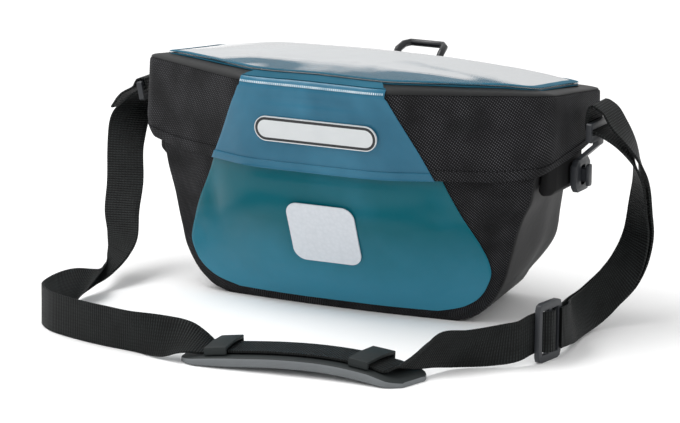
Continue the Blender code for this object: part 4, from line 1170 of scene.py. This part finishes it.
# %% [markdown]
# ## The strap's route
# The strap is one length of webbing: up through the right hook, through the slider, along the
# table over the shoulder pad, and up to the left hook. Its route is a list of stations, each a
# centre in shares of TAB_OUT, BODY_DEPTH and FITTING_Z, and the way that its width points. One
# smooth curve runs through them all.
# %% Stations of the strap
WEBBING, WEBBING_THICK, LAYER_GAP = 25 * MM, 1.5 * MM, 2 * MM
CAD_STEP, FINE_STEP = 7 * MM, 2.2 * MM
SQUARENESS = 0.3  # 1 would turn each width fully square to the route
RIGHT_RUN = [
    (1.1561, 0.0625, 1.4700, 0.00, 1.00, 0.00),
    (1.2003, 0.0750, 1.3700, 0.00, 1.00, 0.00),
    (1.2592, 0.1083, 1.2222, -0.24, 0.97, 0.00),
    (1.3034, 0.1333, 1.0333, -0.52, 0.85, 0.00),
    (1.3071, 0.1375, 0.7889, -0.735, 0.675, 0.09),
    (1.2997, 0.1333, 0.5889, -0.85, 0.50, 0.10),
    (1.2835, 0.1133, 0.4733, -0.81, 0.42, 0.42),
    (1.2526, 0.0725, 0.3578, -0.71, 0.30, 0.64),
    (1.1959, -0.0267, 0.2333, -0.45, 0.20, 0.87),
    (1.1568, -0.1333, 0.1600, -0.35, -0.03, 0.93),
    (1.1510, -0.3242, 0.1400, -0.28, 0.00, 0.96),
    (1.1819, -0.5250, 0.1600, -0.20, 0.00, 0.98),
]
AFTER_SLIDER = [
    (1.1414, -1.0000, 0.1722, 0.06, 0.06, 0.99),
    (1.0567, -1.0667, 0.1489, 0.20, 0.25, 0.95),
    (0.9462, -1.1833, 0.1422, 0.40, 0.20, 0.88),
    (0.8726, -1.3333, 0.1644, 0.35, 0.60, 0.72),
    (0.8211, -1.4458, 0.1400, 0.20, 0.94, 0.28),
]
LEFT_RUN = [
    (-0.1362, -1.6108, 0.1156, 0.03, 0.97, 0.22),
    (-0.1841, -1.6292, 0.1378, 0.10, 0.85, 0.50),
    (-0.2798, -1.6542, 0.1411, 0.03, 0.45, 0.89),
    (-0.4271, -1.6375, 0.1389, 0.00, 0.00, 1.00),
    (-0.5965, -1.6042, 0.1389, 0.00, 0.00, 1.00),
    (-0.7879, -1.5458, 0.1389, 0.00, 0.00, 1.00),
    (-0.9573, -1.4583, 0.1389, 0.00, 0.00, 1.00),
    (-1.0530, -1.3333, 0.1389, 0.00, 0.00, 1.00),
    (-1.0751, -1.2083, 0.1422, 0.00, 0.00, 1.00),
    (-1.0828, -0.9960, 0.1350, 0.10, 0.35, 0.85),
    (-1.0750, -0.8763, 0.1150, 0.15, 0.65, 0.58),
    (-1.1150, -0.6521, 0.1050, -0.05, 0.82, 0.30),
    (-1.1298, -0.4767, 0.1444, -0.42, 0.75, 0.20),
]
LEFT_RISE = [
    (-1.1414, -0.3604, 0.2111, -0.72, 0.55, 0.12),
    (-1.1646, -0.2689, 0.2944, -0.90, 0.25, 0.05),
    (-1.1981, -0.2058, 0.4456, -0.97, 0.00, 0.00),
    (-1.2187, -0.1292, 0.6267, -0.98, -0.15, 0.00),
    (-1.2518, -0.0500, 0.9111, -0.98, -0.20, 0.00),
    (-1.2518, 0.0000, 1.0778, -0.80, -0.60, 0.00),
    (-1.2224, 0.0250, 1.2000, -0.30, -0.95, 0.00),
]
RETURN_TOP = [(1.2113, 0.0917, 1.2389, -0.10, 0.99, 0.00)]
TAIL = [
    (-1.2592, 0.0333, 1.2500, -0.12, -0.99, 0.00),
    (-1.3080, 0.0375, 1.1450, -0.20, -0.98, 0.00),
]
PAD_STATIONS = [
    # centre x, centre y, underside z as shares, then the share of the thickness from tip to middle
    (-0.1988, -1.5958, 0.0000, 0.0),
    (-0.1252, -1.5833, 0.0500, 0.5),
    (0.0368, -1.5583, 0.2500, 1.0),
    (0.2651, -1.5250, 0.5833, 1.0),
    (0.5007, -1.5000, 0.5833, 1.0),
    (0.7143, -1.5083, 0.2500, 1.0),
    (0.8100, -1.5250, 0.0500, 0.5),
    (0.8689, -1.5417, 0.0000, 0.0),
]
PAD_WIDE, PAD_THICK, PAD_TIP, PAD_NARROW = 40 * MM, 6 * MM, 3 * MM, 0.5
SLIDER_TALL, SLIDER_LONG, SLIDER_THICK, SLIDER_BAR = 36 * MM, 25 * MM, 3.5 * MM, 3.5 * MM
SLIDER_TURN = -8
SLIDER_PLACE = Vector((1.2091 * TAB_OUT, -0.8125 * BODY_DEPTH, SLIDER_TALL / 2))
SIDES = {"right": 1, "left": -1}
HOOK_THICK, HOOK_OFFSET, HOOK_PLAY, SWUNG_PLAY = (v * MM for v in (3.5, 11, 0.7, 1.2))
HOOK_SWING = {"right": 0, "left": 12}  # degrees outwards
STUD_FOOT = 1.4 * MM
LOOP_LOW = (10 + 10 + 3) * MM  # half the hook's plate, its sloping arm and its shank
WINDOW_HIGH, LOOP_HIGH = LOOP_LOW + 8 * MM, LOOP_LOW + 12 * MM
BAR_CLEAR = WEBBING_THICK / 2 + SEAT * 1.5  # from a bar's face to the middle of the webbing
BAR_CORNER, WINDOW_DROP = BAR_CLEAR * 0.75, 0.9 * MM  # at the bar's corner, and outside it
PAD_GAP = 2.5 * SEAT
AHEAD = 0.01  # a small step along the pad, for its direction


def stations_of(rows):
    size = Vector((TAB_OUT, BODY_DEPTH, FITTING_Z))
    return [(Vector(row[:3]) * size, Vector(row[3:])) for row in rows]


def hook_matrix(side):
    play = HOOK_PLAY + (SWUNG_PLAY if HOOK_SWING[side] else 0)
    out = TAB_OUT + SEAT + STUD_FOOT + play + HOOK_THICK / 2
    place = Matrix.Translation((out, FITTING_Y, FITTING_Z))
    swing = Matrix.Rotation(math.radians(HOOK_SWING[side]), 4, "Y")
    return Matrix.Scale(SIDES[side], 4, (1, 0, 0)) @ place @ swing


def at_hook(side, out, high, width):
    return hook_matrix(side) @ Vector((out, 0, high)), Vector(width)


def round_bar(side, width):
    """From outside through the window under the hook's bar and up its inner side."""
    inner, outer = HOOK_OFFSET - HOOK_THICK / 2, HOOK_OFFSET + HOOK_THICK / 2
    places = [
        (outer + BAR_CLEAR, WINDOW_HIGH - BAR_CLEAR - WINDOW_DROP),
        (HOOK_OFFSET, WINDOW_HIGH - BAR_CLEAR),
        (inner - BAR_CORNER, WINDOW_HIGH - BAR_CORNER),
        (inner - BAR_CLEAR, (WINDOW_HIGH + LOOP_HIGH) / 2),
    ]
    return [at_hook(side, *place, width) for place in places]


def slider_station(along, out):
    turn = Matrix.Rotation(math.radians(SLIDER_TURN), 4, "Z")
    return Matrix.Translation(SLIDER_PLACE) @ turn @ Vector((out, along, 0)), Vector((0, 0, 1))


# %% [markdown]
# Webbing is stiff across its width, so each row of it is a flat section with rounded selvedges,
# turned partly square to the route. Between stations the curve is cut into short steps, and a
# piece of webbing is a loft of those sections. It is cut where it passes a bar or meets the pad.
# %% Webbing helpers
def frames(stations, step):
    """Rows of centre, direction, width, normal and asked width, and each station's row."""
    centres = [centre for centre, _ in stations]
    widths = [width for _, width in stations]
    lengths = [(q - p).length for p, q in zip(centres, centres[1:])]
    rows, marks = [], [0]
    for i, length in enumerate(lengths):
        steps = max(round(length / step), 2)
        for k in range(steps):
            u = k / steps
            centre = curve_through(centres, lengths, i, u)
            rows.append((centre, curve_through(widths, lengths, i, u)))
        marks.append(len(rows))
    rows.append(stations[-1])
    made = []
    for i, (centre, width) in enumerate(rows):
        ahead, behind = rows[min(i + 1, len(rows) - 1)][0], rows[max(i - 1, 0)][0]
        along = (ahead - behind).normalized()
        squared = (width - along * width.dot(along) * SQUARENESS).normalized()
        made.append((centre, along, squared, along.cross(squared).normalized(), width))
    return made, marks


# Webbing's section: share of half the width, share of half the thickness. The selvedge is round.
SECTION = [(0.97, 1.0), (0.6, 1.0), (0.2, 1.0), (-0.2, 1.0), (-0.6, 1.0), (-0.97, 1.0), (-1.0, 0.4)]
SECTION += [(-x, -y) for x, y in SECTION]


def webbing_ring(centre, _, width, normal):
    """The section at one row, lifted where it would go below the table."""
    half, thick = width * WEBBING / 2, normal * WEBBING_THICK / 2
    ring = [centre + half * a + thick * b for a, b in SECTION]
    lift = max(0, -min(p.z for p in ring))
    return [p + Vector((0, 0, lift)) for p in ring]


def weave_route(pieces):
    """Lofts the webbing along the whole route, one piece for each length between its cuts."""
    stations = [station for _, run in pieces for station in run]
    made, marks = frames(stations, FINE_STEP)
    first = 0
    for name, run in pieces:
        last = min(first + len(run), len(stations) - 1)
        rows = made[marks[first] : marks[last] + 1]
        first = last
        rings = [webbing_ring(*row[:4]) for row in rows]
        rings[0] = [p + rows[0][1] * SEAT / 2 for p in rings[0]]
        rings[-1] = [p - rows[-1][1] * SEAT / 2 for p in rings[-1]]
        bm, _ = skin(rings, start=True, end=True)
        bmesh.ops.recalc_face_normals(bm, faces=bm.faces)
        place_piece(name + "_webbing", bm, (WEBBING_CLOTH,), [name], sharp=50)


def pad_frame(t):
    """The pad at t counted in stations: centre of the underside, thickness and side direction."""
    rows = [Vector((x * TAB_OUT, y * BODY_DEPTH, z * PAD_THICK)) for x, y, z, _ in PAD_STATIONS]
    shares = [Vector((share, 0, 0)) for _, _, _, share in PAD_STATIONS]
    lengths = [(q - p).length for p, q in zip(rows, rows[1:])]
    i = min(int(t), len(lengths) - 1)
    centre = curve_through(rows, lengths, i, t - i)
    thick = lerp(PAD_TIP, PAD_THICK, clamp(curve_through(shares, lengths, i, t - i).x))
    along = curve_through(rows, lengths, i, t - i + AHEAD) - centre
    side_way = Vector((0, 0, 1)).cross(along).normalized()
    return Vector((centre.x, centre.y, max(centre.z, 0))), thick, side_way


def on_pad(share):
    """Where the webbing lies on the pad, at a share of its length."""
    centre, thick, side_way = pad_frame(share * (len(PAD_STATIONS) - 1))
    return centre + Vector((0, 0, thick + PAD_GAP + WEBBING_THICK / 2)), side_way


# %% [markdown]
# The second layer of webbing on the right comes from the slider's rear bar and runs up inside the
# first one. It uses the first layer's own rows, moved inwards, so the two never cross.
# %% The strap
OUTER_TURN = 10.5 * MM  # how far over the right hook's bar the outer layer turns
LAYERED_FROM = 4  # the station from which the two layers lie together
RETURN_START = (-0.4, 0.7)  # where the second layer leaves the rear bar, in bar widths
BESIDE_BAR = 0.65 * SLIDER_BAR  # where the webbing passes a bar, from the bar's middle
TAIL_CLEAR, TAIL_DROP = 3 * MM, 1 * MM  # how far the tail hangs outside and below its bar
PAD_SHARES = (0.79, 0.7, 0.6, 0.5, 0.4, 0.3, 0.24)  # stations on the pad, along its length
PAD_LEAVE = 0.18  # where the next length begins

wave = SLIDER_THICK / 2 + SEAT * 2 + WEBBING_THICK / 2
pitch = (SLIDER_LONG - SLIDER_BAR) / 2
low = [slider_station(pitch + SLIDER_BAR * share, wave) for share in RETURN_START]
woven = ((pitch, -wave), (pitch - BESIDE_BAR, -wave), (BESIDE_BAR, wave), (-BESIDE_BAR, wave))
after = ((-pitch + BESIDE_BAR, -wave), (-pitch, -wave), (-pitch - SLIDER_BAR, -wave))
after_slider = [slider_station(*place) for place in after] + stations_of(AFTER_SLIDER)

right_way, left_way = (0, 1, 0), (0, -1, 0)
top = at_hook("right", HOOK_OFFSET, LOOP_HIGH + OUTER_TURN, right_way)
outer = [top] + stations_of(RIGHT_RUN) + [slider_station(pitch + SLIDER_BAR, -wave)]
made, marks = frames(outer, CAD_STEP)
layer = WEBBING_THICK + LAYER_GAP
inside = [(row[0] - row[3] * layer, row[4]) for row in made[marks[LAYERED_FROM] : marks[-2] - 1]]
right_return = low + inside[::-1] + stations_of(RETURN_TOP) + round_bar("right", right_way)

half, clear = HOOK_THICK / 2, WEBBING_THICK / 2 + SEAT
over = at_hook("left", HOOK_OFFSET - half - clear, LOOP_HIGH + clear, left_way)
tail = [
    at_hook("left", HOOK_OFFSET, LOOP_HIGH + clear + SEAT, left_way),
    at_hook("left", HOOK_OFFSET + half + clear, LOOP_HIGH + clear, left_way),
]
out = HOOK_OFFSET + half + WEBBING_THICK + TAIL_CLEAR
tail.append(at_hook("left", out, (WINDOW_HIGH + LOOP_HIGH) / 2 - TAIL_DROP, left_way))
route = [
    ("strap_return", right_return),
    ("strap_right", outer),
    ("strap_slider", [slider_station(*place) for place in woven]),
    ("strap_front_right", after_slider),
    ("strap_pad", [on_pad(share) for share in PAD_SHARES]),
    ("strap_front_left", [on_pad(PAD_LEAVE)] + stations_of(LEFT_RUN)),
    ("strap_left", stations_of(LEFT_RISE) + round_bar("left", left_way) + [over]),
    ("strap_tail", tail + stations_of(TAIL)),
]
weave_route(route)
print("strap:", [piece.name for piece in PIECES if piece.name.startswith("strap")])

# %% [markdown]
# ## The shoulder pad
# The pad is moulded foam with a fabric top. It is crowned, thin at its tips and it stands on the
# table in a slight arch. Its section has a flat sole and rounded shoulders, lofted along the
# pad's own line, and the top gets the cover's finish and the sides the rubbery foam.
# %% The shoulder pad
PAD_SIDE_LINE = [
    # share of half the width, share of the thickness, up one side from the sole
    (0.95, 0.00),
    (1.00, 0.16),
    (1.00, 0.62),
    (0.97, 0.86),
    (0.90, 0.97),
    (0.78, 1.00),
    (0.40, 1.00),
]
PAD_SECTION = [(-0.95, 0), (0, 0)] + PAD_SIDE_LINE + [(0, 1)]
PAD_SECTION += [(-x, y) for x, y in PAD_SIDE_LINE[:0:-1]]
PAD_ROWS, PAD_END, TIP_POWER = 72, 0.002, 6
TOP_FACING = 0.6  # faces that look up more than this get the cover

rings = []
for i in range(PAD_ROWS + 1):
    share = lerp(PAD_END, 1 - PAD_END, i / PAD_ROWS)
    centre, thick, side_way = pad_frame(share * (len(PAD_STATIONS) - 1))
    half = PAD_WIDE / 2 * (1 - PAD_NARROW * abs(2 * share - 1) ** TIP_POWER)
    rings.append([centre + side_way * a * half + Vector((0, 0, b * thick)) for a, b in PAD_SECTION])
bm, _ = skin(rings, start=True, end=True)
bmesh.ops.recalc_face_normals(bm, faces=bm.faces)
for face in bm.faces:
    face.material_index = 1 if face.normal.z > TOP_FACING else 0
finishes = (PAD_SIDE, PAD_TOP)
pad = place_piece("shoulder_pad_foam", bm, finishes, ["shoulder_pad"], sharp=60)
for side in ("left", "right"):
    fitting("bridge_" + side, 0.7 * MM, PAD_TOP)

# %% [markdown]
# ## Behind the bag
# A block on the back panel clips onto the bicycle's bracket, and a bent rod above it lets the
# rider release the bag. The photograph hides the block, so it is one plain moulded piece.
# %% The rear block and its rod
fitting("rear_adapter", 0.6 * MM, BLACK_PLASTIC, 2)
fitting("loop_handle", 0.3 * MM, ROD, 2, 45)
